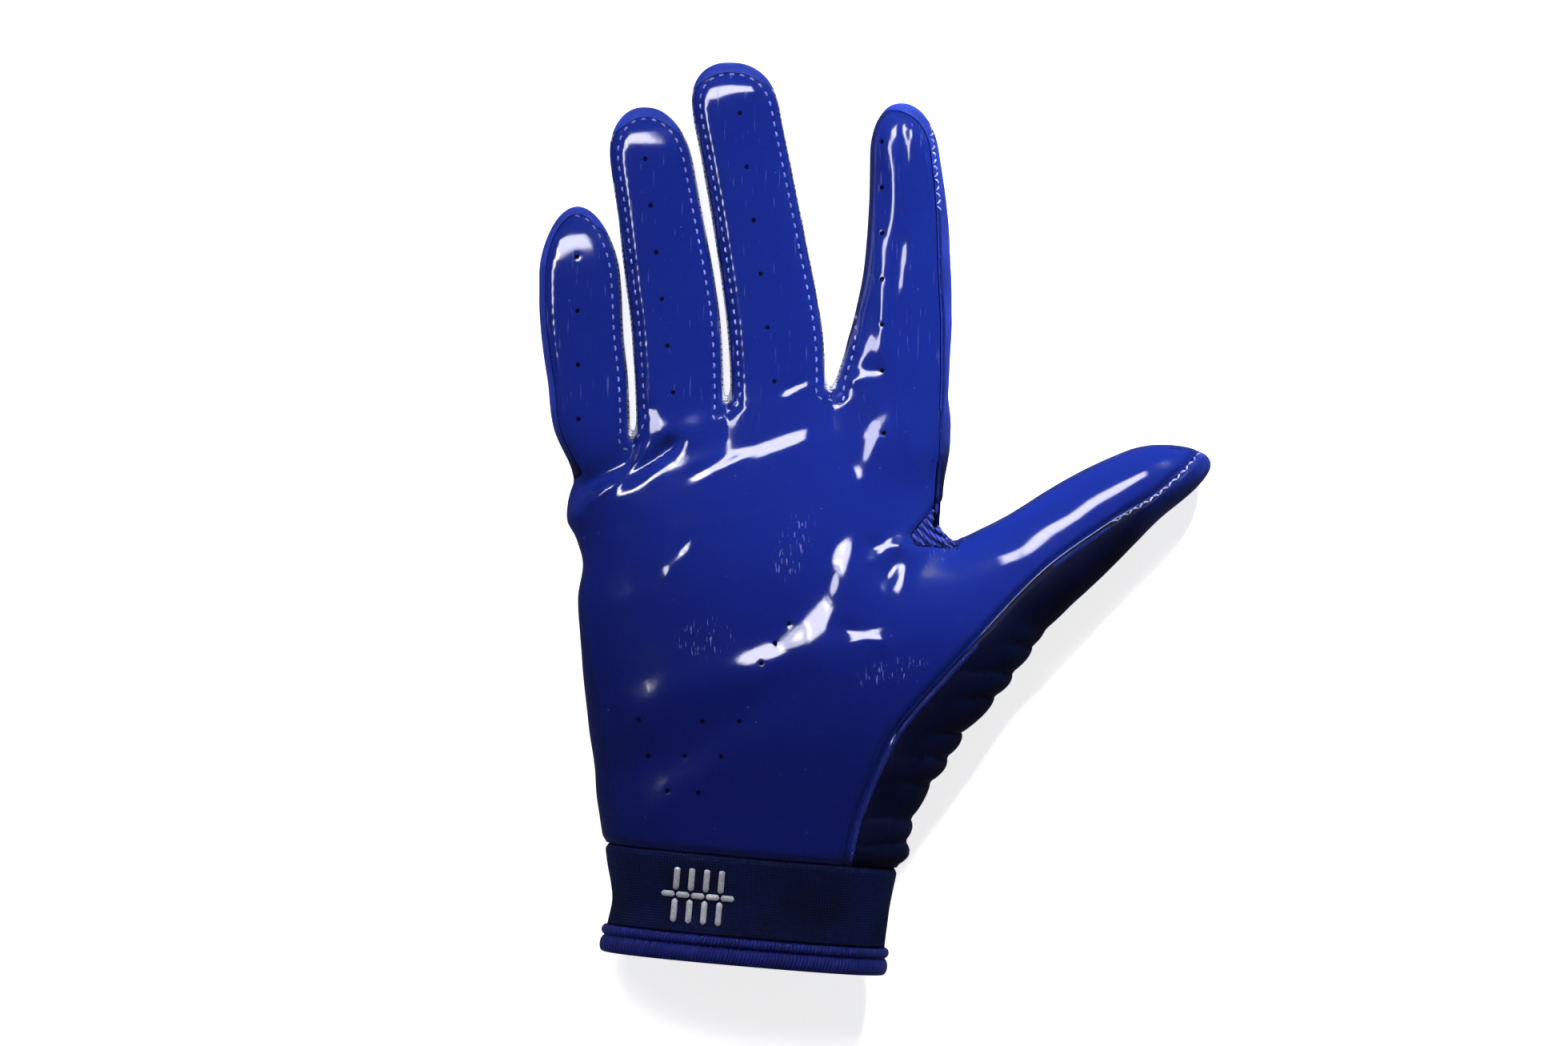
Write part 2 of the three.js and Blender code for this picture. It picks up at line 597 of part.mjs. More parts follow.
// Wrist: the cuff, a rolled piping and the binding below it, each a ring open for the arm.
const even = (amount) => () => amount;
const rolled = (t) => ROLL.edge + ROLL.crown * Math.sqrt(Math.max(0, 1 - (2 * t - 1) ** 2));
const wristSides = { over: 12, under: 8 };
const armHole = wristSolid(ARM_HOLE.from, ARM_HOLE.to, even(-WALL), 5, { over: 12, under: 6 });
const cuff = wristSolid(0, -CUFF_LENGTH, even(0), 5, wristSides).subtract(armHole);
const tape = ({ from, to }) => wristSolid(from, to, rolled, 4, wristSides).subtract(armHole).intersect(above(0));

// The printed figure follows the cuff's face.
function laceRegion() {
  const { u, v, length, bar, cross, count, pitch } = LACE;
  const middleZ = LACE.fromZ + SKY / 2;
  const crosses = Array.from({ length: count }, (_, i) =>
    cuffBox(bar, cross, SKY, u + (i - (count - 1) / 2) * pitch, v, middleZ),
  );
  return joined([cuffBox(length, bar, SKY, u, v, middleZ), ...crosses]);
}
const lace = wristSolid(0, -CUFF_LENGTH, even(SEAM_GAP + LACE.thick), 5, wristSides)
  .subtract(wristSolid(0, -CUFF_LENGTH, even(SEAM_GAP), 5, wristSides))
  .intersect(laceRegion());

// Keeps a cut panel's main body, without the crumbs that a cut can leave.
function mainBody(solid) {
  return solid.decompose().reduce((best, one) => (one.volume() > best.volume() ? one : best));
}

const finishes = {
  palm: new THREE.MeshStandardMaterial({ color: 0x1226a8, roughness: 0.12, metalness: 0 }),
  back: new THREE.MeshStandardMaterial({ color: 0x0e1a78, roughness: 0.6, metalness: 0 }),
  gusset: new THREE.MeshStandardMaterial({ color: 0x1a35b4, roughness: 0.75, metalness: 0 }),
  cuff: new THREE.MeshStandardMaterial({ color: 0x10226e, roughness: 0.85, metalness: 0 }),
  hem: new THREE.MeshStandardMaterial({ color: 0x1a34b8, roughness: 0.7, metalness: 0 }),
  print: new THREE.MeshStandardMaterial({ color: 0xb9bec4, roughness: 0.4, metalness: 0.2 }),
};

function piece(name, solid, material) {
  const mesh = mainBody(solid).getMesh();
  const positions = new Float32Array(mesh.numVert * 3);
  for (let i = 0; i < mesh.numVert; i += 1) {
    positions.set(mesh.vertProperties.subarray(i * mesh.numProp, i * mesh.numProp + 3), i * 3);
  }
  const geometry = new THREE.BufferGeometry();
  geometry.setAttribute("position", new THREE.BufferAttribute(positions, 3));
  geometry.setIndex(new THREE.BufferAttribute(new Uint32Array(mesh.triVerts), 1));
  const made = new THREE.Mesh(geometry, material);
  made.name = name;
  return made;
}

const glove = new THREE.Group();
glove.add(
  piece("palm_panel", palm, finishes.palm),
  piece("back_panel", back, finishes.back),
  piece("gusset_pinky_ring", gussets[0], finishes.gusset),
  piece("gusset_ring_middle", gussets[1], finishes.gusset),
  piece("gusset_middle_index", gussets[2], finishes.gusset),
  piece("thumb_crotch_patch", patch, finishes.gusset),
  piece("wrist_cuff", cuff, finishes.cuff),
  piece("hem_piping", tape(PIPING), finishes.hem),
  piece("hem_binding", tape(BINDING), finishes.hem),
  piece("cuff_lace_print", lace, finishes.print),
);

// Bring the middle of the outline to X = 0, Y = 0.
const reach = new THREE.Box3().setFromObject(glove);
glove.position.set(-(reach.min.x + reach.max.x) / 2, -(reach.min.y + reach.max.y) / 2, 0);

export default glove;
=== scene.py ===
import math

import bpy
import numpy as np
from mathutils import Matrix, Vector


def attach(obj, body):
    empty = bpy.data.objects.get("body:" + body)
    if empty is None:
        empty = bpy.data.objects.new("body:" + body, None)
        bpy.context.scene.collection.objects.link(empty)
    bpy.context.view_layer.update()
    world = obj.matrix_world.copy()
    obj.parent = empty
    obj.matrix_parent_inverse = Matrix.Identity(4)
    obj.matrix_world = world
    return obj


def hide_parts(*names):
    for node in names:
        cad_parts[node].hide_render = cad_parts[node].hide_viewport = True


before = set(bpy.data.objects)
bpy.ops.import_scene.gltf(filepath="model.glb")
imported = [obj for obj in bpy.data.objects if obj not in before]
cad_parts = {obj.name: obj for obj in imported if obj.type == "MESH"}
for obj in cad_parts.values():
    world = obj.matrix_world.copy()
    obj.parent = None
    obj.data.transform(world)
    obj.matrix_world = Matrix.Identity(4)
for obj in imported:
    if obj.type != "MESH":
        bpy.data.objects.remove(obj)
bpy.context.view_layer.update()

# Stage: a pale floor, a camera straight above the palm and soft studio lights.
# The lights stand where their reflections draw the streaks on the wet-look palm.
MM = 0.001
VIEW_WIDE = 392 * MM
VIEW_CENTRE = (-22.45 * MM, -1.32 * MM)
VIEW_PLANE = 9 * MM
CAMERA_HEIGHT = 1.6
SENSOR = 36

camera_lens = bpy.data.cameras.new("camera")
camera_lens.sensor_width = SENSOR
camera_lens.lens = SENSOR * (CAMERA_HEIGHT - VIEW_PLANE) / VIEW_WIDE
camera_lens.clip_end = 10
camera = bpy.data.objects.new("camera", camera_lens)
camera.location = (*VIEW_CENTRE, CAMERA_HEIGHT)
bpy.context.collection.objects.link(camera)
bpy.context.scene.camera = camera
bpy.context.scene.view_settings.view_transform = "Standard"


def softbox(name, toward, distance, wide, long, watts, colour=(1, 1, 1), aim=(0, 0), spread=180,
            gloss=True):
    """A rectangular light aimed at a spot of the table, in millimetres, from a direction seen from it."""
    lamp = bpy.data.lights.new(name, "AREA")
    lamp.shape = "RECTANGLE"
    lamp.size = wide
    lamp.size_y = long
    lamp.energy = watts
    lamp.color = colour
    holder = bpy.data.objects.new(name, lamp)
    out = Vector(toward).normalized()
    holder.location = Vector((*aim, 0)) * MM + out * distance
    holder.rotation_euler = out.to_track_quat("Z", "Y").to_euler()
    lamp.spread = math.radians(spread)
    holder.visible_glossy = gloss
    holder.visible_camera = False
    bpy.context.collection.objects.link(holder)


softbox("key_top", (-0.20, 0.58, 0.79), 1.5, 0.62, 0.42, 3.0, (0.86, 0.84, 1))
softbox("key_core", (-0.20, 0.58, 0.79), 1.48, 0.52, 0.34, 5.0, (0.94, 0.92, 1))
softbox("key_side", (-0.415, 0.47, 0.78), 0.62, 0.13, 0.10, 0.34, (0.92, 0.91, 1))
softbox("side_strip", (-0.587, 0.342, 0.733), 0.409, 0.15, 0.07, 0.32, (0.90, 0.90, 1))
softbox("grid_upper_right", (0.25, 0.80, 0.52), 1.05, 0.16, 0.16, 0.30,
        aim=(34, 46), spread=16, gloss=False)

room = bpy.data.worlds.new("room")
room.use_nodes = True
room.node_tree.nodes["Background"].inputs["Color"].default_value = (0.80, 0.84, 1, 1)
room.node_tree.nodes["Background"].inputs["Strength"].default_value = 0.05
bpy.context.scene.world = room

FLOOR_REACH = 3.0
floor_mesh = bpy.data.meshes.new("floor")
floor_mesh.from_pydata(
    [(-FLOOR_REACH, -FLOOR_REACH, 0), (FLOOR_REACH, -FLOOR_REACH, 0),
     (FLOOR_REACH, FLOOR_REACH, 0), (-FLOOR_REACH, FLOOR_REACH, 0)],
    [], [(0, 1, 2, 3)])
floor = bpy.data.objects.new("floor", floor_mesh)
bpy.context.collection.objects.link(floor)
floor_paint = bpy.data.materials.new("floor_paint")
floor_paint.use_nodes = True
floor_shader = floor_paint.node_tree.nodes["Principled BSDF"]
floor_shader.inputs["Base Color"].default_value = (0.9, 0.9, 0.91, 1)
floor_shader.inputs["Roughness"].default_value = 0.9
floor_shader.inputs["Emission Color"].default_value = (1, 1, 1, 1)
floor_shader.inputs["Emission Strength"].default_value = 0.8
floor_mesh.materials.append(floor_paint)
floor.visible_glossy = False

# Palm panel: one moulded skin of wet-look silicone over palm, finger fronts and thumb front.
# It is laid on the knit in one piece, sewn down 2 mm inside each finger's outline, and pierced by vents.
GROUP_SHIFT = np.array([-0.145, 0.08, 0])
FLOOR_SINK = 0.9
WIDEST = 0.46
UPPER_POWER = 2.3
LOWER_POWER = 2.9


class Table:
    """A short table in millimetres; each named column is a smooth curve through its rows."""

    def __init__(self, columns, rows):
        rows = np.array(rows, float)
        knots = rows[:, 0]
        self.places = np.linspace(knots[0], knots[-1], 600)
        i = np.clip(np.searchsorted(knots, self.places, side="right") - 1, 0, len(knots) - 2)
        before = np.maximum(i - 1, 0)
        after = np.minimum(i + 2, len(knots) - 1)
        span = knots[i + 1] - knots[i]
        t = (self.places - knots[i]) / span
        self.curves = {}
        for number, name in enumerate(columns[1:], 1):
            a = rows[i, number]
            b = rows[i + 1, number]
            slope_a = (b - rows[before, number]) / (knots[i + 1] - knots[before]) * span
            slope_b = (rows[after, number] - a) / (knots[after] - knots[i]) * span
            self.curves[name] = ((2 * t**3 - 3 * t**2 + 1) * a + (t**3 - 2 * t**2 + t) * slope_a
                                 + (3 * t**2 - 2 * t**3) * b + (t**3 - t**2) * slope_b)

    def __call__(self, name, place):
        return np.interp(place, self.places, self.curves[name])


FINGER_COLUMNS = ("y", "left", "right", "top", "seam_left", "seam_right")
FINGERS = [
    dict(name="pinky", flat=4.5, tip=77.9, cap=17.5, power=1.95, band=2.2, base=8,
         rows=Table(FINGER_COLUMNS, [
             (8, -72.6, -62.6, 11.0, 1.8, 1.8), (14, -76.2, -61.2, 14.2, 1.8, 1.8),
             (22, -79.8, -60.9, 15.2, 1.8, 1.8), (34, -81.4, -61.3, 15.0, 1.8, 1.8),
             (46, -83.1, -62.5, 14.6, 1.8, 1.8), (58, -83.6, -63.1, 14.2, 1.8, 1.8),
             (78, -83.0, -65.0, 13.0, 1.8, 1.8)])),
    dict(name="ring", flat=4.5, tip=102.7, cap=14, power=2.15, band=2.9, base=16,
         rows=Table(FINGER_COLUMNS, [
             (16, -59.0, -37.6, 16.5, 1.8, 1.8), (33, -59.6, -37.4, 16.2, 1.8, 1.8),
             (49, -60.7, -38.2, 15.8, 1.8, 1.8), (61, -62.2, -39.9, 15.4, 1.8, 1.8),
             (77, -64.1, -42.9, 15.0, 1.8, 1.8), (89, -65.8, -45.1, 14.6, 1.8, 1.8),
             (103, -67.0, -47.6, 14.0, 1.8, 1.8)])),
    dict(name="middle", flat=4.5, tip=113.9, cap=12.5, power=2.35, band=3.0, base=22,
         rows=Table(FINGER_COLUMNS, [
             (22, -35.4, -12.2, 17.0, 1.8, 1.8), (38, -35.9, -12.0, 16.6, 1.8, 1.8),
             (49, -36.7, -12.9, 16.2, 1.8, 1.8), (69, -39.5, -16.7, 15.6, 1.8, 1.8),
             (89, -42.9, -20.7, 15.0, 1.8, 1.8), (101, -45.2, -23.1, 14.6, 1.8, 1.8),
             (114, -46.6, -25.4, 14.2, 1.8, 1.8)])),
    dict(name="index", flat=2.7, tip=103.7, cap=13, power=2.2, band=2.2, base=20,
         rows=Table(FINGER_COLUMNS, [
             (20, -9.8, 18.0, 17.5, 1.9, 2.0), (33, -9.6, 18.9, 17.0, 1.9, 2.2),
             (41, -7.3, 19.3, 16.6, 1.8, 2.6), (49, -5.1, 19.7, 16.2, 0.4, 3.0),
             (61, -2.5, 19.5, 15.8, -3.0, 3.4), (77, -1.1, 18.6, 15.2, -3.0, 3.0),
             (89, -0.8, 16.9, 14.8, -3.0, 2.4), (104, -0.6, 14.8, 14.2, -3.0, 2.0)])),
]
THUMB_TURN = math.radians(34)
THUMB_TIP, THUMB_CAP, THUMB_POWER = 78, 16, 2.1
THUMB_SKEW = 0.22
THUMB = Table(("s", "upper", "lower", "top"), [
    (-6, -17.5, -44.0, 22.0), (10, -16.2, -46.4, 22.0), (20, -17.3, -47.2, 21.0),
    (30, -18.4, -45.7, 20.0), (40, -18.7, -44.2, 19.0), (50, -19.5, -42.2, 18.0),
    (60, -21.2, -40.3, 17.0), (70, -23.6, -40.0, 16.0), (79, -26.0, -40.5, 15.0)])
PALM = Table(("y", "left", "right", "top"), [
    (-96, -66.4, 5.8, 27.4), (-88, -66.8, 6.6, 27.6), (-83, -67.2, 7.4, 28.0), (-78, -67.8, 7.9, 27.6),
    (-70, -69.0, 11.2, 26.8), (-62, -69.6, 16.6, 26.2), (-54, -70.8, 21.6, 25.8), (-46, -71.8, 28.8, 25.4),
    (-38, -72.6, 34.6, 25.0), (-30, -73.2, 38.0, 24.4), (-20, -73.8, 30.0, 23.6), (-12, -72.6, 20.0, 22.8),
    (-6, -74.0, 17.2, 22.0), (-1, -76.4, 17.0, 21.4), (4, -76.4, 17.4, 20.6), (10, -74.9, 17.8, 19.8),
    (16, -77.6, 18.3, 18.6), (22, -79.6, 18.5, 16.8), (30, -80.6, 18.7, 15.2)])
KNUCKLE_AT, KNUCKLE_Y, KNUCKLE_SLOPE, KNUCKLE_BEND = -30, 29.9, 0.19, -0.00496
ARC_STARTS_Y = -18
RIB_NOTCHES = [-86.3, -80.7, -75.1, -65.9, -59.7, -53.7, -44.5, -38.7, -32.1, -25.0]
RIB_PROUD = 1.7
RIB_FROM, RIB_TO, RIB_FADE = -84, -30, 5

# Broad mounds of flesh, then long folds across the palm, in millimetres seen from above.
MOUNDS = [(10, -34, 34, 34, 3.0), (-58, -46, 18, 30, 0.8), (4, 14, 14, 11, 0.6)]
FOLDS = [
    (-78, 9.0, -54, 16.5, 4.8, -3.2), (-74, 1.5, -48, 19.5, 4.2, 1.6),
    (-76, -8.5, -50, -2.0, 5.0, -0.2), (-62, -43.0, -42, -12.5, 8.0, -0.3),
    (-58, -48.5, -21, -35.5, 6.2, 0.68), (-66, -68.5, -22, -43.5, 7.5, -0.8),
    (-61, -75.5, -11, -43.5, 7.0, 0.7)]


def ease(x, low, high):
    t = np.clip((x - low) / (high - low), 0, 1)
    return t * t * (3 - 2 * t)


def smooth_min(a, b, reach):
    h = np.clip(0.5 + 0.5 * (b - a) / reach, 0, 1)
    return b + (a - b) * h - reach * h * (1 - h)


def smooth_max(a, b, reach):
    return -smooth_min(-a, -b, reach)


def knuckle_y(x):
    d = x - KNUCKLE_AT
    return KNUCKLE_Y + KNUCKLE_SLOPE * d + KNUCKLE_BEND * d * d


def bowed(row, x):
    return row + ease(row, ARC_STARTS_Y, KNUCKLE_Y) * (knuckle_y(x) - KNUCKLE_Y)


def unbowed(y, x):
    """The palm's row that the arc of the knuckles bends to this height."""
    row = y
    for _ in range(14):
        row = y - ease(row, ARC_STARTS_Y, KNUCKLE_Y) * (knuckle_y(x) - KNUCKLE_Y)
    return row


def tube(across, z, left, right, top, end=0, end_power=2.0, end_length=10, upper_power=UPPER_POWER,
         skew=0.0):
    """Distance outside a squashed tube, from its outline and height and how far into its dome a point is."""
    half = (right - left) / 2
    widest = -FLOOR_SINK + (top + FLOOR_SINK) * WIDEST
    over = z > widest
    power = np.where(over, upper_power, LOWER_POWER)
    rise = np.where(over, top - widest, widest + FLOOR_SINK)
    share = (across - (left + right) / 2) / half
    share = share + skew * np.maximum(1 - share * share, 0)
    a = np.maximum(np.abs(share), 1e-6)
    b = np.maximum(np.abs(z - widest) / rise, 1e-6)
    ring = (a**power + b**power) ** (1 / power)
    ring_slope = np.hypot(a ** (power - 1) / half, b ** (power - 1) / rise) * ring ** (1 - power)
    whole = (ring**end_power + end**end_power) ** (1 / end_power)
    slope = np.hypot(ring_slope * ring ** (end_power - 1), end ** (end_power - 1) / end_length)
    return (whole - 1) / np.maximum(slope * whole ** (1 - end_power), 1e-4)


def relief(x, y):
    z = np.zeros_like(x)
    for at_x, at_y, reach_x, reach_y, height in MOUNDS:
        z = z + height * np.exp(-((x - at_x) / reach_x) ** 2 - ((y - at_y) / reach_y) ** 2)
    for x1, y1, x2, y2, width, height in FOLDS:
        long = math.hypot(x2 - x1, y2 - y1)
        along = ((x - x1) * (x2 - x1) + (y - y1) * (y2 - y1)) / long
        aside = ((x - x1) * (y2 - y1) - (y - y1) * (x2 - x1)) / long
        beyond = np.maximum(0, np.maximum(-along, along - long))
        z = z + height * np.exp(-((aside / width) ** 2) - (beyond / (1.5 * width)) ** 2)
    return z


# Places where the stretched skin rolls toward the lights and shines: centre, direction in degrees,
# reach along and across it, and how steeply it tilts in x and in y.
ROLLS = [
    (-23.9, 17.9, 17, 10, 4, -0.094, 0.156), (-38.7, 12.7, 24, 8, 1.8, -0.094, 0.122),
    (-13.1, -25.9, 40, 9, 9, -0.021, 0.22), (-25.9, -33.7, 30, 10, 6.4, -0.009, 0.20),
    (-2.3, -29.3, -15, 7, 2.6, -0.183, 0.167), (-8.9, -12.3, 80, 11, 4, -0.225, 0.11),
    (-0.7, 18.1, 68, 9, 5, -0.363, 0.044), (2.7, -7.3, 10, 5, 2.6, -0.391, 0.132),
    (6.1, -11.9, 60, 6, 3.4, -0.455, -0.011), (-60.3, 11.3, 35, 13, 2, 0.517, -0.381),
    (-2.3, 35.7, 20, 4.5, 2.2, 0.129, 0.2), (-18.3, 32.5, 20, 5, 1.8, -0.133, 0.204),
    (-53.9, 24.3, 120, 5, 2.4, -0.159, 0.131), (-34.9, 107.3, -12, 8, 4, -0.115, 0.006),
    (8.7, 92.3, 90, 6, 1.8, -0.389, -0.025), (7.3, 62.3, 88, 9, 2, -0.343, 0.086),
    (2.5, 65.3, 90, 24, 2, 0.016, 0.053), (-49.3, -10.7, 60, 7, 1.5, -0.012, 0.10),
    (-61, -7, 0, 9, 16, 0, -0.10)]


def tilted(x, y):
    rise = np.zeros(np.broadcast(x, y).shape)
    for at_x, at_y, turn, long, wide, tilt_x, tilt_y in ROLLS:
        c, s = math.cos(math.radians(turn)), math.sin(math.radians(turn))
        run = (x - at_x) * c + (y - at_y) * s
        off = (y - at_y) * c - (x - at_x) * s
        near = np.exp(-((run / long) ** 4) - (off / wide) ** 2)
        rise = rise - (tilt_x * (x - at_x) + tilt_y * (y - at_y)) * near
    return rise


def rib(y):
    wave = np.abs(np.sin(math.pi * np.interp(y, RIB_NOTCHES, range(len(RIB_NOTCHES))))) ** 0.6
    begun = ease(y, RIB_FROM - RIB_FADE, RIB_FROM)
    return RIB_PROUD * wave * begun * (1 - ease(y, RIB_TO, RIB_TO + RIB_FADE))


def finger_tube(finger, x, y, z):
    rows = finger["rows"]
    dome = np.maximum(y - (finger["tip"] - finger["cap"]), 0) / finger["cap"]
    foot = np.maximum(finger["base"] - y, 0) / finger["cap"]
    return tube(x, z, rows("left", y), rows("right", y), rows("top", y),
                np.maximum(dome, foot), finger["power"], finger["cap"], finger["flat"])


def thumb_tube(x, y, z):
    s = x * math.cos(THUMB_TURN) + y * math.sin(THUMB_TURN)
    t = y * math.cos(THUMB_TURN) - x * math.sin(THUMB_TURN)
    dome = np.maximum(s - (THUMB_TIP - THUMB_CAP), 0) / THUMB_CAP
    foot = np.maximum(-6 - s, 0) / THUMB_CAP
    return tube(t, z, THUMB("lower", s), THUMB("upper", s), THUMB("top", s),
                np.maximum(dome, foot), THUMB_POWER, THUMB_CAP, skew=THUMB_SKEW * ease(s, 5, 30))


def palm_tube(x, y, z):
    row = unbowed(y, x)
    left = PALM("left", bowed(row, -76))
    right = PALM("right", bowed(row, 18))
    top = PALM("top", row)
    share = (x - (left + right) / 2) * 2 / (right - left)
    widest = -FLOOR_SINK + (top + FLOOR_SINK) * WIDEST
    lifted = ease((z - widest) / (top - widest), 0, 0.6) * relief(x, y)
    body = tube(x - rib(y) * np.clip((share - 0.55) / 0.4, 0, 1), z - lifted, left, right, top)
    return smooth_max(body, row - KNUCKLE_Y, 6)


def hand_form(x, y, z):
    """The glove's smooth outer form: below zero inside it, in millimetres."""
    body = smooth_min(palm_tube(x, y, z), thumb_tube(x, y, z), 7)
    form = body
    for finger in FINGERS:
        form = np.minimum(form, smooth_min(body, finger_tube(finger, x, y, z), 4.5))
    return smooth_max(form, -z, 1.0)


def smooth_line(points, apart):
    """Points about so far apart on a smooth curve through a few given ones."""
    p = np.array(points, float)
    padded = np.vstack([2 * p[0] - p[1], p, 2 * p[-1] - p[-2]])
    line = []
    for a, b, c, d in zip(padded, padded[1:], padded[2:], padded[3:]):
        t = np.linspace(0, 1, max(2, int(np.linalg.norm(c - b) / 0.5)), endpoint=False)[:, None]
        line.append(0.5 * (2 * b + (c - a) * t + (2 * a - 5 * b + 4 * c - d) * t**2
                           + (3 * b - a - 3 * c + d) * t**3))
    line = np.vstack([*line, p[-1:]])
    return even_line(line, apart)


def even_line(line, apart):
    gone = np.concatenate([[0], np.cumsum(np.linalg.norm(np.diff(line, axis=0), axis=1))])
    places = np.linspace(0, gone[-1], max(2, round(gone[-1] / apart) + 1))
    return np.stack([np.interp(places, gone, line[:, k]) for k in range(line.shape[1])], axis=1)


THUMB_SEAM = smooth_line([
    (96, 24), (82.5, 17.0), (77.0, 11.6), (69.7, 5.3), (57.7, -2.1), (41.7, -13.7), (24.7, -31.3),
    (7.7, -50.1), (1.3, -61.3), (-3.9, -73.7), (-6.5, -84.0), (-9.0, -98.0)], 2.0)
CROTCH_SEAM = 1.9
PALM_WRAP_Z = 6.5
PINKY_SEAM_ENDS_Y = 12.5
INDEX_FOOT_SEAM = 2.2


def beside_line(x, y, line):
    """Signed distance from a line seen from above, above zero on the right hand of its direction."""
    best = np.full(x.shape, 1e9)
    side = np.ones(x.shape)
    for a, b in zip(line, line[1:]):
        dx, dy = b - a
        t = np.clip(((x - a[0]) * dx + (y - a[1]) * dy) / (dx * dx + dy * dy), 0, 1)
        off_x = x - a[0] - t * dx
        off_y = y - a[1] - t * dy
        far = np.hypot(off_x, off_y)
        nearer = far < best
        best = np.where(nearer, far, best)
        side = np.where(nearer, np.sign(off_x * dy - off_y * dx), side)
    return best * side


def finger_strip(finger, x, y, band):
    """Distance inside the line along which a finger's front is sewn down."""
    rows = finger["rows"]
    left = rows("left", y) + rows("seam_left", y)
    right = rows("right", y) - rows("seam_right", y)
    cap = finger["cap"] - band
    half = (right - left) / 2
    a = np.maximum(np.abs(x - (left + right) / 2) / half, 1e-6)
    b = np.maximum(y - (finger["tip"] - finger["cap"]), 0) / cap
    power = finger["power"]
    whole = (a**power + b**power) ** (1 / power)
    slope = np.hypot(a ** (power - 1) / half, b ** (power - 1) / cap) * whole ** (1 - power)
    inside = (1 - whole) / np.maximum(slope, 1e-4)
    return np.where(y < finger["base"] - 6, -9.0, inside)


def panel_inset(x, y):
    """Distance inside the palm panel's sewn edge, seen from above."""
    on_thumb = (x > 19) & (y < 14 + 0.289 * (x - 30))
    foot = PALM("right", y) - INDEX_FOOT_SEAM - x
    crotch = knuckle_y(x) - CROTCH_SEAM
    crotch = np.where(x < -70, np.minimum(crotch, PINKY_SEAM_ENDS_Y), crotch)
    hand = np.minimum(crotch - y, np.where(y > -3, foot, 99.0))
    body = np.minimum(beside_line(x, y, THUMB_SEAM), np.where(on_thumb, 99.0, hand))
    strips = np.maximum.reduce([finger_strip(finger, x, y, finger["band"]) for finger in FINGERS])
    return smooth_max(body, strips, 1.5)


# Vents stand in rows: from one place to another, and how many.
VENT_ROWS = [
    (-73.9, 64.9, -73.5, 24.5, 4), (-56.9, 89.3, -49.9, 31.1, 6), (-33.3, 100.7, -24.7, 33.9, 6),
    (2.1, 93.7, 2.1, 36.5, 6), (2.5, 20.9, 2.5, 20.9, 1), (-58.3, -50.1, -58.3, -50.1, 1),
    (-42.5, -50.5, -33.3, -50.5, 2), (-55.9, -59.1, -37.9, -59.1, 3), (-51.1, -67.7, -43.5, -68.1, 2),
    (-21.1, -26.3, -27.9, -36.1, 3)]
VENTS = np.vstack([np.linspace((x1, y1), (x2, y2), count) for x1, y1, x2, y2, count in VENT_ROWS])
VENT_RADIUS = 0.58
SEAM_GAP = 0.3
PANEL_THICK = 1.2
CUFF_CENTRE = (-30.4, -84.2)
CUFF_TURN = math.radians(-5)
CROTCH_PATCH = [(20.6, -7.4), (20.6, 3.6), (16.1, 3.6), (9.1, -4.4), (10.6, -7.0)]


def up_cuff(x, y):
    """Height along the arm from the seam between hand and cuff."""
    return (y - CUFF_CENTRE[1]) * math.cos(CUFF_TURN) - (x - CUFF_CENTRE[0]) * math.sin(CUFF_TURN)


def patch_inset(x, y):
    """Distance inside the knit patch of the thumb's crotch."""
    inset = np.full(np.shape(x), 99.0)
    for (x1, y1), (x2, y2) in zip(CROTCH_PATCH, CROTCH_PATCH[1:] + CROTCH_PATCH[:1]):
        long = math.hypot(x2 - x1, y2 - y1)
        inset = np.minimum(inset, ((x2 - x1) * (y - y1) - (y2 - y1) * (x - x1)) / long)
    return inset


def vent_distance(x, y):
    return np.min([np.hypot(x - vent_x, y - vent_y) for vent_x, vent_y in VENTS], axis=0)


def groove(distance, width, depth):
    return depth * np.exp(-((distance / width) ** 2))


def glove_skin(x, y, z):
    """The hand's form with its sewn grooves, vents' dimples and slight waves."""
    upper = ease(z, 5, 8)
    inset = panel_inset(x, y)
    thumb = beside_line(x, y, THUMB_SEAM)
    waves = (0.05 * np.sin(0.33 * x + 0.21 * y + 1.0) * np.sin(0.12 * x - 0.29 * y)
             + 0.02 * np.sin(0.61 * y + 0.4 * x) * np.sin(0.55 * x - 0.2 * y + 2.0))
    puckers = 0.03 * np.sin(2 * math.pi * y / 2.7) * np.exp(-((inset - 0.4) / 1.6) ** 2) * (y > 22)
    sunk = (groove(inset - 0.3, 0.85, 0.22) + groove(thumb - 0.4, 1.0, 0.7)
            + groove(patch_inset(x, y), 0.7, 0.5) + groove(vent_distance(x, y), 0.8, 0.10))
    worked = hand_form(x, y, z) - upper * tilted(x, y) + upper * (sunk + waves + puckers)
    return worked + groove(up_cuff(x, y), 1.2, 0.8)


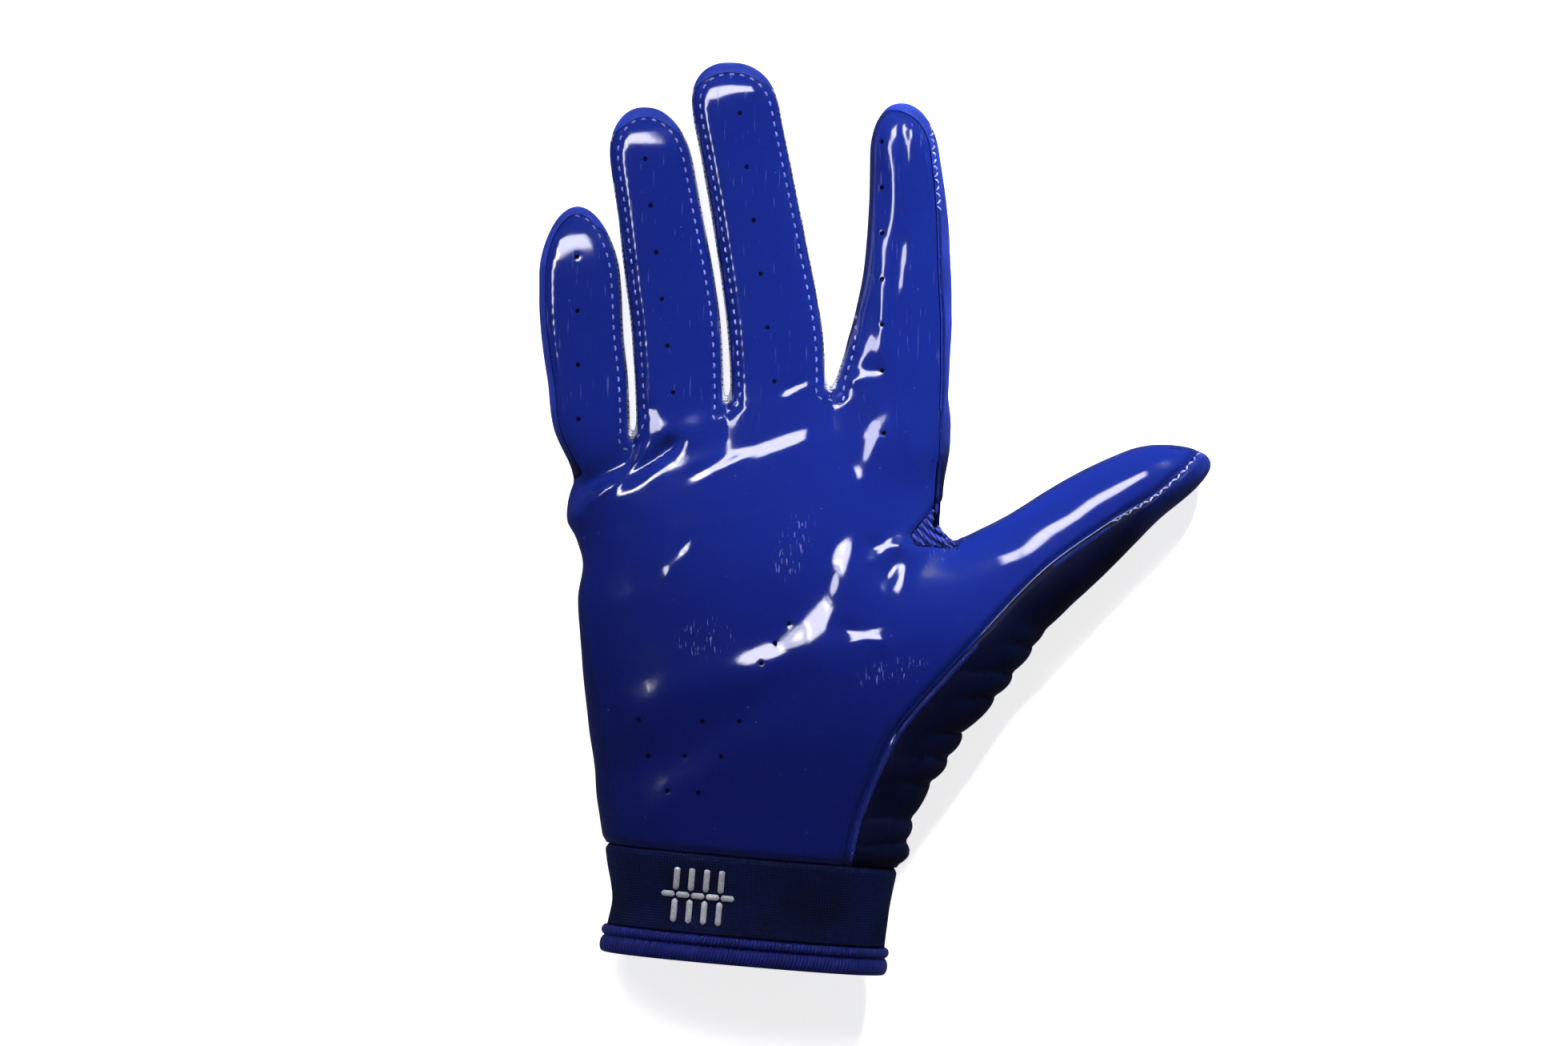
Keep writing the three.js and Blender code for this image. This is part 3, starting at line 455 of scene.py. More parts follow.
def skin(form, low, high, step):
    """Triangles of the surface where a form is zero: one point in each grid cell that it passes."""
    low, step = np.array(low, float), np.array(step, float)
    axes = [np.arange(a, b + s, s) for a, b, s in zip(low, high, step)]
    values = form(*np.meshgrid(*axes, indexing="ij", sparse=True))
    inside = values < 0
    size = np.array(values.shape) - 1
    filled = sum(inside[i:i + size[0], j:j + size[1], k:k + size[2]].astype(int)
                 for i, j, k in np.ndindex(2, 2, 2))
    cells = np.argwhere((filled > 0) & (filled < 8))
    number = np.full(size, -1)
    number[tuple(cells.T)] = np.arange(len(cells))
    total = np.zeros((len(cells), 3))
    hits = np.zeros((len(cells), 1))
    faces = []
    for axis in range(3):
        ahead = np.eye(3, dtype=int)[axis]
        b, c = [np.eye(3, dtype=int)[k] for k in range(3) if k != axis]
        for corner in (0 * b, b, c, b + c):
            start = values[tuple((cells + corner).T)]
            end = values[tuple((cells + corner + ahead).T)]
            crossed = (start < 0) != (end < 0)
            t = np.where(crossed, start / np.where(crossed, start - end, 1), 0)
            total += (cells + corner + t[:, None] * ahead) * crossed[:, None]
            hits += crossed[:, None]
        near = inside.take(np.arange(size[axis]), axis)
        far = inside.take(np.arange(1, size[axis] + 1), axis)
        edges = np.argwhere(near != far)
        edges = edges[((edges @ b > 0) & (edges @ c > 0) & (edges @ b < size @ b) & (edges @ c < size @ c))]
        quads = np.stack([number[tuple((edges - off).T)] for off in (b + c, c, 0 * b, b)], axis=1)
        backward = near[tuple(edges.T)] == (axis == 1)
        quads[backward] = quads[backward][:, ::-1]
        faces += [quads[:, [0, 1, 2]], quads[:, [0, 2, 3]]]
    return total / hits * step + low, np.vstack(faces)


def slopes(form, points, reach=0.03):
    """Gradient of a form at points; its direction is the surface's normal."""
    reached = []
    for axis in range(3):
        step = np.eye(3)[axis] * reach
        reached.append((form(*(points + step).T) - form(*(points - step).T)) / (2 * reach))
    return np.stack(reached, axis=1)


def unit(vectors):
    return vectors / np.maximum(np.linalg.norm(vectors, axis=-1, keepdims=True), 1e-9)


def settle(form, points, rounds):
    """Moves points onto the surface of a form."""
    for _ in range(rounds):
        slope = slopes(form, points)
        move = form(*points.T) / np.maximum((slope * slope).sum(1), 0.2)
        points = points - np.clip(move, -0.8, 0.8)[:, None] * slope
    return points


def edge_points(faces):
    """The distinct edges of triangles, and for each triangle the numbers of its three edges."""
    edges, number = np.unique(np.sort(faces[:, [0, 1, 1, 2, 2, 0]].reshape(-1, 2), axis=1),
                              axis=0, return_inverse=True)
    return edges, number.reshape(-1, 3)


SPLITS = {
    (0, 0, 0): [(0, 1, 2)],
    (1, 0, 0): [(0, 3, 2), (3, 1, 2)],
    (0, 1, 0): [(0, 1, 4), (0, 4, 2)],
    (0, 0, 1): [(0, 1, 5), (5, 1, 2)],
    (1, 1, 0): [(3, 1, 4), (0, 3, 4), (0, 4, 2)],
    (0, 1, 1): [(4, 2, 5), (0, 1, 4), (0, 4, 5)],
    (1, 0, 1): [(0, 3, 5), (3, 1, 2), (3, 2, 5)],
    (1, 1, 1): [(0, 3, 5), (3, 1, 4), (5, 4, 2), (3, 4, 5)],
}


def refine(points, faces, wanted):
    """Halves the edges whose middle and length a test picks."""
    edges, number = edge_points(faces)
    middle = points[edges].mean(axis=1)
    marked = wanted(middle, np.linalg.norm(points[edges[:, 0]] - points[edges[:, 1]], axis=1))
    place = np.cumsum(marked) - 1 + len(points)
    local = np.hstack([faces, place[number]])
    split = []
    for pattern, triangles in SPLITS.items():
        rows = local[(marked[number] == np.array(pattern, bool)).all(axis=1)]
        split += [rows[:, list(triangle)] for triangle in triangles]
    return np.vstack([points, middle[marked]]), np.vstack(split)


def cut(points, faces, value):
    """Keeps the part of a skin where a value given at each point is above zero."""
    kept = value > 0
    shown = kept[faces].sum(axis=1)
    edges, number = edge_points(faces)
    a, b = edges.T
    crossed = kept[a] != kept[b]
    t = np.where(crossed, value[a] / np.where(crossed, value[a] - value[b], 1), 0.5)
    added = points[a] + t[:, None] * (points[b] - points[a])
    place = np.cumsum(crossed) - 1 + len(points)
    whole = [faces[shown == 3]]
    for alone, triangles in ((1, [(0, 3, 5)]), (2, [(3, 1, 2), (3, 2, 5)])):
        rows = np.nonzero(shown == alone)[0]
        odd = kept[faces[rows]] == (alone == 1)
        first = odd.argmax(axis=1)[:, None]
        turned = (first + np.arange(3)) % 3
        local = np.hstack([np.take_along_axis(faces[rows], turned, 1),
                           np.take_along_axis(place[number[rows]], turned, 1)])
        whole += [local[:, list(triangle)] for triangle in triangles]
    return tidy(np.vstack([points, added[crossed]]), np.vstack(whole))


def tidy(points, faces):
    used, number = np.unique(faces, return_inverse=True)
    return points[used], number.reshape(faces.shape)


def thicken(points, faces, normals, depth):
    """Gives an open skin its thickness, and returns it with a normal for each corner of each face."""
    count = len(points)
    corners = faces[:, [0, 1, 1, 2, 2, 0]].reshape(-1, 2)
    forward = corners[:, 0] * count + corners[:, 1]
    rim = corners[~np.isin(forward, corners[:, 1] * count + corners[:, 0])]
    a, b = rim.T
    sides = np.vstack([np.stack([b, a, a + count], axis=1), np.stack([b, a + count, b + count], axis=1)])
    inner = points - normals * depth
    out = unit(np.cross(points[b] - points[a], normals[a]))
    everything = np.vstack([faces, faces[:, ::-1] + count, sides])
    corner_normals = np.vstack([normals[faces].reshape(-1, 3), -normals[faces[:, ::-1]].reshape(-1, 3),
                                np.repeat(np.vstack([out, out]), 3, axis=0)])
    return np.vstack([points, inner]), everything, corner_normals


def make_mesh(name, points, faces, paint, corner_normals=None):
    """A mesh object from points in millimetres."""
    mesh = bpy.data.meshes.new(name)
    mesh.from_pydata(((points + GROUP_SHIFT) * MM).tolist(), [], [list(map(int, face)) for face in faces])
    mesh.shade_smooth()
    if corner_normals is not None:
        mesh.normals_split_custom_set(corner_normals.tolist())
    mesh.materials.append(paint)
    made = bpy.data.objects.new(name, mesh)
    bpy.context.collection.objects.link(made)
    return made


def sewn_panel(name, points, faces, paint):
    """A panel of the glove cut from the hand's skin, with its thickness."""
    points = settle(glove_skin, points, 1)
    normals = unit(slopes(glove_skin, points))
    points, faces, corner_normals = thicken(points, faces, normals, PANEL_THICK)
    return make_mesh(name, points, faces, paint, corner_normals)


class Value:
    """A shader socket that carries a number; sums and products with it become Math nodes."""

    def __init__(self, finish, socket):
        self.finish = finish
        self.socket = socket

    def math(self, operation, *others, first=None):
        numbers = (self, *others) if first is None else (first, self)
        return self.finish.node("Math", {"operation": operation}, dict(enumerate(numbers)))

    def __add__(self, other):
        return self.math("ADD", other)

    def __sub__(self, other):
        return self.math("SUBTRACT", other)

    def __rsub__(self, other):
        return self.math("SUBTRACT", first=other)

    def __mul__(self, other):
        return self.math("MULTIPLY", other)

    __radd__ = __add__
    __rmul__ = __mul__

    def power(self, other):
        return self.math("POWER", other)

    def sine(self):
        return self.math("SINE")

    def size(self):
        return self.math("ABSOLUTE")

    def ramp(self, low, high):
        """Rises smoothly from 0 to 1 between two values."""
        return self.finish.node("MapRange", {"interpolation_type": "SMOOTHSTEP"},
                                {"Value": self, "From Min": low, "From Max": high})


class Finish:
    """A material for one of the glove's stuffs."""

    def __init__(self, name, **constants):
        self.material = bpy.data.materials.new(name)
        self.material.use_nodes = True
        self.tree = self.material.node_tree
        self.shader = self.tree.nodes["Principled BSDF"]
        for socket, value in constants.items():
            self.shader.inputs[socket.replace("_", " ")].default_value = value

    def node(self, kind, settings, sockets, output=0):
        made = self.tree.nodes.new("ShaderNode" + kind)
        for name, value in settings.items():
            setattr(made, name, value)
        for key, value in sockets.items():
            if isinstance(value, Value):
                self.tree.links.new(value.socket, made.inputs[key])
            else:
                made.inputs[key].default_value = value
        return Value(self, made.outputs[output])

    def place(self):
        """Where a point of the mesh is, in millimetres."""
        spot = self.node("TexCoord", {}, {}, "Object")
        return self.node("VectorMath", {"operation": "SCALE"}, {0: spot, "Scale": 1 / MM})

    def stretched(self, vector, factors):
        return self.node("VectorMath", {"operation": "MULTIPLY"}, {0: vector, 1: factors})

    def along(self, vector):
        """The three numbers of a vector."""
        split = self.tree.nodes.new("ShaderNodeSeparateXYZ")
        self.tree.links.new(vector.socket, split.inputs[0])
        return [Value(self, output) for output in split.outputs]

    def noise(self, vector, scale, detail=2.0, roughness=0.5):
        return self.node("TexNoise", {}, {"Vector": vector, "Scale": scale, "Detail": detail,
                                          "Roughness": roughness}, "Fac")

    def mix(self, share, a, b):
        """A colour between two, by a share."""
        return self.node("Mix", {"data_type": "RGBA"}, {0: share, 6: a, 7: b}, 2)

    def feed(self, socket, value):
        self.tree.links.new(value.socket, self.shader.inputs[socket])

    def bump(self, height):
        """Raises the surface by a height in millimetres."""
        made = self.node("Bump", {}, {"Height": height, "Distance": MM}, "Normal")
        self.feed("Normal", made)


def scuff(finish, x, y, at, turn, long, wide):
    """A mask, 1 inside a long soft-edged spot on the palm seen from above."""
    run = (x - at[0]) * math.cos(turn) + (y - at[1]) * math.sin(turn)
    off = (y - at[1]) * math.cos(turn) - (x - at[0]) * math.sin(turn)
    far = (run * (1 / long)).power(2) + (off * (1 / wide)).power(2)
    return 1 - far.ramp(0.2, 1.0)


def silicone():
    finish = Finish("palm_silicone", Roughness=0.10, IOR=1.5, Coat_Weight=0.7, Coat_Roughness=0.045)
    spot = finish.place()
    x, y, _ = finish.along(spot)
    cloud = finish.noise(spot, 0.05, 3)
    # Painted shade: the blue darkens toward the heel and the pinky side, where the light falls off.
    painted_shade = (y * 0.9 + x * 0.4 + cloud * 12.0).ramp(-66, 10)
    blue = finish.mix(painted_shade, (0.002, 0.006, 0.075, 1), (0.0055, 0.0165, 0.18, 1))
    scratch = finish.noise(finish.stretched(spot, (2.6, 0.35, 0.5)), 1.0, 2)
    worn = (scuff(finish, x, y, (-20, -7), 1.2, 11, 5) + scuff(finish, x, y, (-42, -30), 0.3, 9, 6)
            + scuff(finish, x, y, (4, -38), 0.25, 11, 3.5) + scuff(finish, x, y, (18, -7), 0.7, 9, 3))
    # Pale, rougher streaks painted along the fingers.
    streak_noise = finish.noise(finish.stretched(spot, (1.5, 0.11, 0.2)), 1.0, 2)
    streaks = streak_noise.ramp(0.66, 0.74) * y.ramp(18, 34) * 0.5
    marks = (worn.math("MINIMUM", 1.0) * scratch.ramp(0.61, 0.68) + streaks).math("MINIMUM", 1.0)
    dust = finish.noise(spot, 1.1, 0).ramp(0.86, 0.90)
    pale = (marks * 0.25 + dust * 0.12).math("MINIMUM", 1.0)
    finish.feed("Base Color", finish.mix(pale, blue, (0.35, 0.35, 0.75, 1)))
    finish.feed("Roughness", 0.09 + finish.noise(spot, 0.25, 2) * 0.06 + marks * 0.3)
    ripple = finish.noise(spot, 0.22, 2) * 0.07 + finish.noise(spot, 1.6, 1) * 0.004 - marks * 0.02
    finish.bump(ripple)
    return finish.material


SKIN_LOW, SKIN_HIGH, SKIN_CELL = (-86, -90, -1.5), (86, 117, 31), (0.8, 1.1, 0.95)
TOP_SIDE_Z = 5
SEAM_EDGE = 0.7
VENT_EDGES = (0.8, 0.4)
PALM_REACH = 1.6


def near_seam(middle, long):
    """Edges beside the panel's seam that are too long for its groove."""
    inset = panel_inset(middle[:, 0], middle[:, 1])
    return (np.abs(inset - 0.2) < 1.9) & (middle[:, 2] > TOP_SIDE_Z) & (long > SEAM_EDGE)


def near_vent(longest):
    """A test for the edges round a vent that are longer than a length."""
    return lambda middle, long: ((vent_distance(middle[:, 0], middle[:, 1]) < 1.6)
                                 & (middle[:, 2] > TOP_SIDE_Z) & (long > longest))


hand_points, hand_faces = skin(hand_form, SKIN_LOW, SKIN_HIGH, SKIN_CELL)
hand_points, hand_faces = refine(settle(hand_form, hand_points, 2), hand_faces, near_seam)
for longest in VENT_EDGES:
    hand_points, hand_faces = refine(hand_points, hand_faces, near_vent(longest))
hand_points = settle(glove_skin, hand_points, 2)
hand_points, hand_faces = cut(hand_points, hand_faces, up_cuff(*hand_points[:, :2].T) - SEAM_GAP / 2)


def inside_palm(x, y, z):
    """Above zero on the palm panel, which wraps the inner sides of the fingers as far as the gussets."""
    reach = np.zeros(x.shape)
    for finger in FINGERS:
        rows = finger["rows"]
        near = (x > rows("left", y) - 1) & (x < rows("right", y) + 1)
        shaft = 1 - ease(y, finger["tip"] - 8, finger["tip"] - 4)
        outer = (finger["name"] == "pinky") & (x < -70) | (finger["name"] == "index") & (x > 5)
        reach = np.where(near & ~outer, PALM_REACH * shaft, reach)
    return np.minimum(panel_inset(x, y) + reach, z - PALM_WRAP_Z)


palm_points, palm_faces = cut(hand_points, hand_faces, inside_palm(*hand_points.T) - SEAM_GAP / 2)
x, y, z = palm_points.T
palm_points, palm_faces = cut(palm_points, palm_faces, -patch_inset(x, y) - SEAM_GAP / 2)
x, y, z = palm_points.T
palm_points, palm_faces = cut(palm_points, palm_faces, vent_distance(x, y) - VENT_RADIUS)
palm = sewn_panel("palm_skin", palm_points, palm_faces, silicone())
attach(palm, "root")
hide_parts("palm_panel")

# Vents: round holes punched in rows through the silicone.
# Painted shade: a near-black disc sits inside each hole, a little wider than the hole, for the dark inside of
# the vent.
SHADE_DISC_RADIUS = 0.95
SHADE_DISC_DEPTH = 0.45


def lay_on(flat):
    """Points seen from above, dropped onto the glove, with the surface's normal there."""
    low = np.full(len(flat), 6.0)
    high = np.full(len(flat), 36.0)
    for _ in range(16):
        middle = (low + high) / 2
        outside = glove_skin(flat[:, 0], flat[:, 1], middle) > 0
        high = np.where(outside, middle, high)
        low = np.where(outside, low, middle)
    points = np.column_stack([flat, (low + high) / 2])
    return points, unit(slopes(glove_skin, points))


def painted_vent_shade():
    finish = Finish("vent_shade_disc", Roughness=0.95, Specular_IOR_Level=0.0)
    speck = finish.noise(finish.place(), 4.0, 1)
    finish.feed("Base Color", finish.mix(speck, (0.0004, 0.0008, 0.004, 1), (0.0015, 0.003, 0.016, 1)))
    return finish.material


def rings(centres, across, ahead, radius, count):
    """A ring of points round each centre, in the plane of two directions."""
    turns = np.linspace(0, 2 * math.pi, count, endpoint=False)
    cosines, sines = np.cos(turns)[None, :, None], np.sin(turns)[None, :, None]
    return centres[:, None] + radius * (cosines * across[:, None] + sines * ahead[:, None])


vent_points, vent_normals = lay_on(VENTS)
vent_across = unit(np.cross(vent_normals, (0, 1, 0)))
vent_rims = rings(vent_points - SHADE_DISC_DEPTH * vent_normals, vent_across,
                  np.cross(vent_across, vent_normals), SHADE_DISC_RADIUS, 12)
shade_disc = make_mesh("vent_shade_disc", vent_rims.reshape(-1, 3), np.arange(vent_rims[..., 0].size).reshape(-1, 12),
                   painted_vent_shade())
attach(shade_disc, "root")

# Back panel: quilted stretch satin over the back of the hand, the finger sides and the fingertip bands.
# It is cut and sewn from one cloth, ribbed along the thumb side, and lies flat on the table.


def satin():
    finish = Finish("back_satin", Roughness=0.5, Specular_IOR_Level=0.15,
                    Sheen_Weight=0.03, Sheen_Roughness=0.35, Sheen_Tint=(0.35, 0.4, 1, 1))
    spot = finish.place()
    x, y, _ = finish.along(spot)
    weave = (x * 9.0 + y * 4.0).sine() * (y * 9.0 - x * 4.0).sine()
    cloud = finish.noise(spot, 0.12, 3)
    # Painted light and shade: one blue satin, painted dark navy over the back of the hand and brighter blue
    # toward the fingertip bands and the thumb's end, where more light falls.
    band = y.ramp(8, 30)
    shaded_navy = finish.mix(cloud, (0.0008, 0.0018, 0.010, 1), (0.0016, 0.0035, 0.024, 1))
    lit_thumb_end = x.ramp(62, 80)
    lit_tips = finish.mix(cloud.ramp(0.3, 0.7), (0.008, 0.022, 0.22, 1), (0.012, 0.034, 0.32, 1))
    finish.feed("Base Color", finish.mix((band + lit_thumb_end * 0.5).math("MINIMUM", 1.0), shaded_navy, lit_tips))
    finish.bump(weave * 0.02 + cloud * 0.15)
    return finish.material


rest = cut(hand_points, hand_faces, -inside_palm(*hand_points.T) - SEAM_GAP / 2)
rest = cut(*rest, -patch_inset(*rest[0][:, :2].T) - SEAM_GAP / 2 + 60 * (rest[0][:, 2] < PALM_WRAP_Z))
satin_paint = satin()


def between(a, b, x, y, z):
    """Above zero on the gusset between two fingers."""
    middle = [(finger["rows"]("left", y) + finger["rows"]("right", y)) / 2 for finger in (a, b)]
    parting = (a["rows"]("right", y) + b["rows"]("left", y)) / 2
    root = knuckle_y((a["rows"]("right", 30) + b["rows"]("left", 30)) / 2) - 4
    end = np.where(x < parting, a["tip"], b["tip"]) - 7
    return np.minimum.reduce([x - middle[0], middle[1] - x, y - root, end - y, z - 4])


GUSSET_PAIRS = [(FINGERS[i], FINGERS[i + 1]) for i in range(3)]
back = rest
for pair in GUSSET_PAIRS:
    back = cut(*back, -between(*pair, *back[0].T) - SEAM_GAP / 2)
back_cloth = sewn_panel("back_cloth", *back, satin_paint)
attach(back_cloth, "root")
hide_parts("back_panel")

# Finger gussets: strips of pale air mesh between each two fingers.
# They are sewn to the palm panel above and to the back below, and show as slivers at the crotches.


def air_mesh():
    finish = Finish("gusset_mesh", Roughness=0.7, Sheen_Weight=0.3)
    spot = finish.place()
    x, y, z = finish.along(spot)
    holes = ((y * 4.6).sine() * (z * 4.6 + x * 2.0).sine()).ramp(0.25, 0.6)
    # Painted shade: the mesh's sunken openings are painted near-black; the threads between are pale grey.
    finish.feed("Base Color", finish.mix(holes, (0.42, 0.44, 0.52, 1), (0.03, 0.035, 0.08, 1)))
    finish.bump(holes * -0.15)
    return finish.material


mesh_paint = air_mesh()
for pair in GUSSET_PAIRS:
    label = f"{pair[0]['name']}_{pair[1]['name']}"
    cut_out = cut(*rest, between(*pair, *rest[0].T) - SEAM_GAP / 2)
    strip = sewn_panel(f"{label}_gusset_mesh", *cut_out, mesh_paint)
    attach(strip, "root")
    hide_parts(f"gusset_{label}")

# Crotch patch: a small triangle of ribbed knit let in between thumb and index finger.
# Its seams pull it into puckers.


def puckered_skin(x, y, z):
    run = (x - CROTCH_PATCH[0][0]) * 0.6 + (y - CROTCH_PATCH[0][1]) * 0.8
    return glove_skin(x, y, z) - 0.30 * np.sin(2 * math.pi * run / 1.7 + 0.8 * np.sin(x)) - 0.2


def rib_knit():
    finish = Finish("crotch_rib", Roughness=0.8, Sheen_Weight=0.4, Sheen_Tint=(0.3, 0.4, 1, 1))
    x, y, _ = finish.along(finish.place())
    rows = (x * 6.5 + y * 4.0).sine()
    lit = rows.ramp(-0.6, 0.8)
    finish.feed("Base Color", finish.mix(lit, (0.003, 0.008, 0.12, 1), (0.008, 0.022, 0.30, 1)))
    finish.bump(rows * 0.10)
    return finish.material


patch_points, patch_faces = cut(hand_points, hand_faces, inside_palm(*hand_points.T))
in_patch = patch_inset(*patch_points[:, :2].T) - SEAM_GAP / 2
patch_points, patch_faces = cut(patch_points, patch_faces, in_patch)
for _ in range(2):
    patch_points, patch_faces = refine(patch_points, patch_faces, lambda middle, long: long > 0.4)
patch_points = settle(puckered_skin, patch_points, 2)
patch_normals = unit(slopes(puckered_skin, patch_points))
patch_points, patch_faces, patch_corners = thicken(patch_points, patch_faces, patch_normals, PANEL_THICK)
patch = make_mesh("crotch_knit", patch_points, patch_faces, rib_knit(), patch_corners)
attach(patch, "root")
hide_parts("thumb_crotch_patch")

# Wrist cuff: a sleeve of fine stretch knit, double, sewn to the hand and hemmed below.
# Its rings lie across the arm; v runs up the arm from the seam with the hand.
CUFF = Table(("v", "left", "right", "top"), [
    (-28, -34.8, 34.9, 26.6), (-20, -34.4, 35.1, 26.2), (-14, -33.8, 35.4, 26.0), (-10, -34.4, 35.5, 26.2),
    (-5, -35.6, 35.9, 26.8), (0, -36.6, 36.5, 27.6)])
CUFF_LIFT = 0.9
CUFF_SEAM = 0.1
CUFF_LENGTH = 19.9
CUFF_THICK = 1.5
AROUND = 240


def on_wrist(v, out, angle):
    """A point of the wrist at a height along it, standing out by so much, at an angle round the arm."""
    left = CUFF("left", v) - out
    right = CUFF("right", v) + out
    crown = CUFF("top", v) + out
    floor_z = CUFF_LIFT - out
    widest = floor_z + (crown - floor_z) * WIDEST
    power = np.where(np.sin(angle) > 0, UPPER_POWER, LOWER_POWER)
    across = np.sign(np.cos(angle)) * np.abs(np.cos(angle)) ** (2 / power)
    up = np.sign(np.sin(angle)) * np.abs(np.sin(angle)) ** (2 / power)
    u = (left + right) / 2 + across * (right - left) / 2
    z = widest + up * np.where(up > 0, crown - widest, widest - floor_z)
    return from_cuff(u, v, np.maximum(z, 0.02))


def from_cuff(u, v, z):
    x = CUFF_CENTRE[0] + u * math.cos(CUFF_TURN) - v * math.sin(CUFF_TURN)
    y = CUFF_CENTRE[1] + u * math.sin(CUFF_TURN) + v * math.cos(CUFF_TURN)
    return np.stack([x, y, z * np.ones_like(x)], axis=-1)


def sleeve(name, profile, paint):
    """A ring of cloth round the wrist, from the closed profile of its thickness as (v, out) pairs."""
    angles = np.linspace(0, 2 * math.pi, AROUND, endpoint=False)
    v, out = [np.array(column, float)[:, None] for column in zip(*profile)]
    grid = on_wrist(v + 0 * angles, out + 0 * angles, angles)
    rows = len(profile)
    ring, spoke = np.meshgrid(np.arange(rows), np.arange(AROUND), indexing="ij")
    here = ring * AROUND + spoke
    there = (ring + 1) % rows * AROUND
    onward = (spoke + 1) % AROUND
    quads = np.stack([here, there + spoke, there + onward, ring * AROUND + onward], axis=-1).reshape(-1, 4)
    made = make_mesh(name, grid.reshape(-1, 3), quads, paint)
    gone = np.concatenate([[0], np.cumsum(np.linalg.norm(np.diff(grid[0], axis=0), axis=1))])
    along = np.concatenate([gone, [gone[-1] + np.linalg.norm(grid[0][0] - grid[0][-1])]])
    v_map = np.stack([v[ring, 0], v[(ring + 1) % rows, 0], v[(ring + 1) % rows, 0], v[ring, 0]], axis=-1)
    u_map = np.stack([along[spoke], along[spoke], along[spoke + 1], along[spoke + 1]], axis=-1)
    uv = made.data.uv_layers.new(name="cloth")
    uv.data.foreach_set("uv", np.stack([u_map, v_map], axis=-1).reshape(-1))
    return made


def cloth_place(finish):
    """Millimetres round and along the cloth."""
    return finish.along(finish.node("UVMap", {"uv_map": "cloth"}, {}))


def fine_knit():
    finish = Finish("cuff_knit", Roughness=0.8, Specular_IOR_Level=0.12,
                    Sheen_Weight=0.02, Sheen_Roughness=0.4, Sheen_Tint=(0.2, 0.35, 1, 1))
    u, v, _ = cloth_place(finish)
    wale = (u * 8.4).sine()
    course = ((v * 9.5) + wale.size() * 2.0).sine()
    loops = wale * 0.5 + course * 0.7
    spot = finish.place()
    x, y, _ = finish.along(spot)
    cloud = finish.noise(spot, 0.07, 3)
    # Painted highlight and light: the tops of the knit loops are painted lighter blue, and lighter still
    # toward the cuff's top-left where the light falls; between the loops the knit is near-black navy.
    crown = finish.mix((x - y * 2 - 150).ramp(-62, -12), (0.009, 0.042, 0.28, 1), (0.004, 0.017, 0.11, 1))
    base = finish.mix(cloud.ramp(0.3, 0.7), (0.0006, 0.0018, 0.011, 1), (0.0012, 0.004, 0.030, 1))
    finish.feed("Base Color", finish.mix(loops.ramp(0.3, 1.1) * 0.55, base, crown))
    finish.bump(loops * 0.06)
    return finish.material


down = np.linspace(0, 1, 34)
swell = 0.12 * np.sin(5 * down + 1) - 0.9 * np.exp(-(down / 0.035) ** 2)
outer = list(zip(-CUFF_SEAM - down * (CUFF_LENGTH - CUFF_SEAM), swell))
inner = [(v, -CUFF_THICK) for v in np.linspace(-CUFF_LENGTH, -CUFF_SEAM, 6)]
cuff = sleeve("cuff_sleeve", outer + inner, fine_knit())
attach(cuff, "root")
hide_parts("wrist_cuff")

# Hem: a rolled piping above, a stitched groove, and a rolled binding round the mouth.
# Both are bias tape of ribbed satin, turned in and sewn through.
PIPING = (-20.2, -22.6)
BINDING = (-22.9, -26.9)
ROLL_EDGE = 0.2
ROLL_CROWN = 1.0


def ribbed_tape():
    finish = Finish("hem_tape", Roughness=0.7, Specular_IOR_Level=0.25,
                    Sheen_Weight=0.05, Sheen_Roughness=0.3, Sheen_Tint=(0.3, 0.4, 1, 1))
    u, v, _ = cloth_place(finish)
    ribs = (u * 7.2 + v * 1.5).sine()
    cloud = finish.noise(finish.place(), 0.15, 3)
    base = finish.mix(cloud, (0.002, 0.007, 0.10, 1), (0.003, 0.011, 0.17, 1))
    # Painted shade: the grooves between the tape's ribs are painted near-black blue.
    finish.feed("Base Color", finish.mix(ribs.ramp(-0.9, 0.4), (0.001, 0.003, 0.05, 1), base))
    finish.bump(ribs * 0.09)
    return finish.material


def rolled(edges, steps):
    """Profile of a rolled tape: a round outer side and a flat inner one."""
    start, end = edges
    turns = np.linspace(0, 1, steps)
    bulge = [(start + (end - start) * (0.5 - 0.5 * math.cos(math.pi * t)),
              ROLL_EDGE + ROLL_CROWN * math.sin(math.pi * t)) for t in turns]
    return bulge + [(end, -CUFF_THICK), (start, -CUFF_THICK)]


tape_paint = ribbed_tape()
for name, edges, node in (("piping_roll", PIPING, "hem_piping"), ("binding_roll", BINDING, "hem_binding")):
    tape = sleeve(name, rolled(edges, 14), tape_paint)
    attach(tape, "root")
    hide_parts(node)

# Cuff print: a raised silver-grey transfer in the form of a ball's lacing, one long bar and four short ones.
# It is pressed on, so it follows the knit and has thin gaps where its bars meet.
LACE_U, LACE_V = -12.4, -10.6
LACE_LONG = 18.5
LACE_BAR = 1.5
LACE_CROSS = 14
LACE_COUNT = 4
LACE_GAP = 0.3
LACE_HIGH = 0.35
LACE_POINT = 0.55


def on_cuff_face(u, v, out):
    left, right, crown = CUFF("left", v), CUFF("right", v), CUFF("top", v)
    widest = CUFF_LIFT + (crown - CUFF_LIFT) * WIDEST
    across = np.abs((u - (left + right) / 2) * 2 / (right - left))
    return from_cuff(u, v, widest + (crown - widest) * (1 - across**UPPER_POWER) ** (1 / UPPER_POWER) + out)


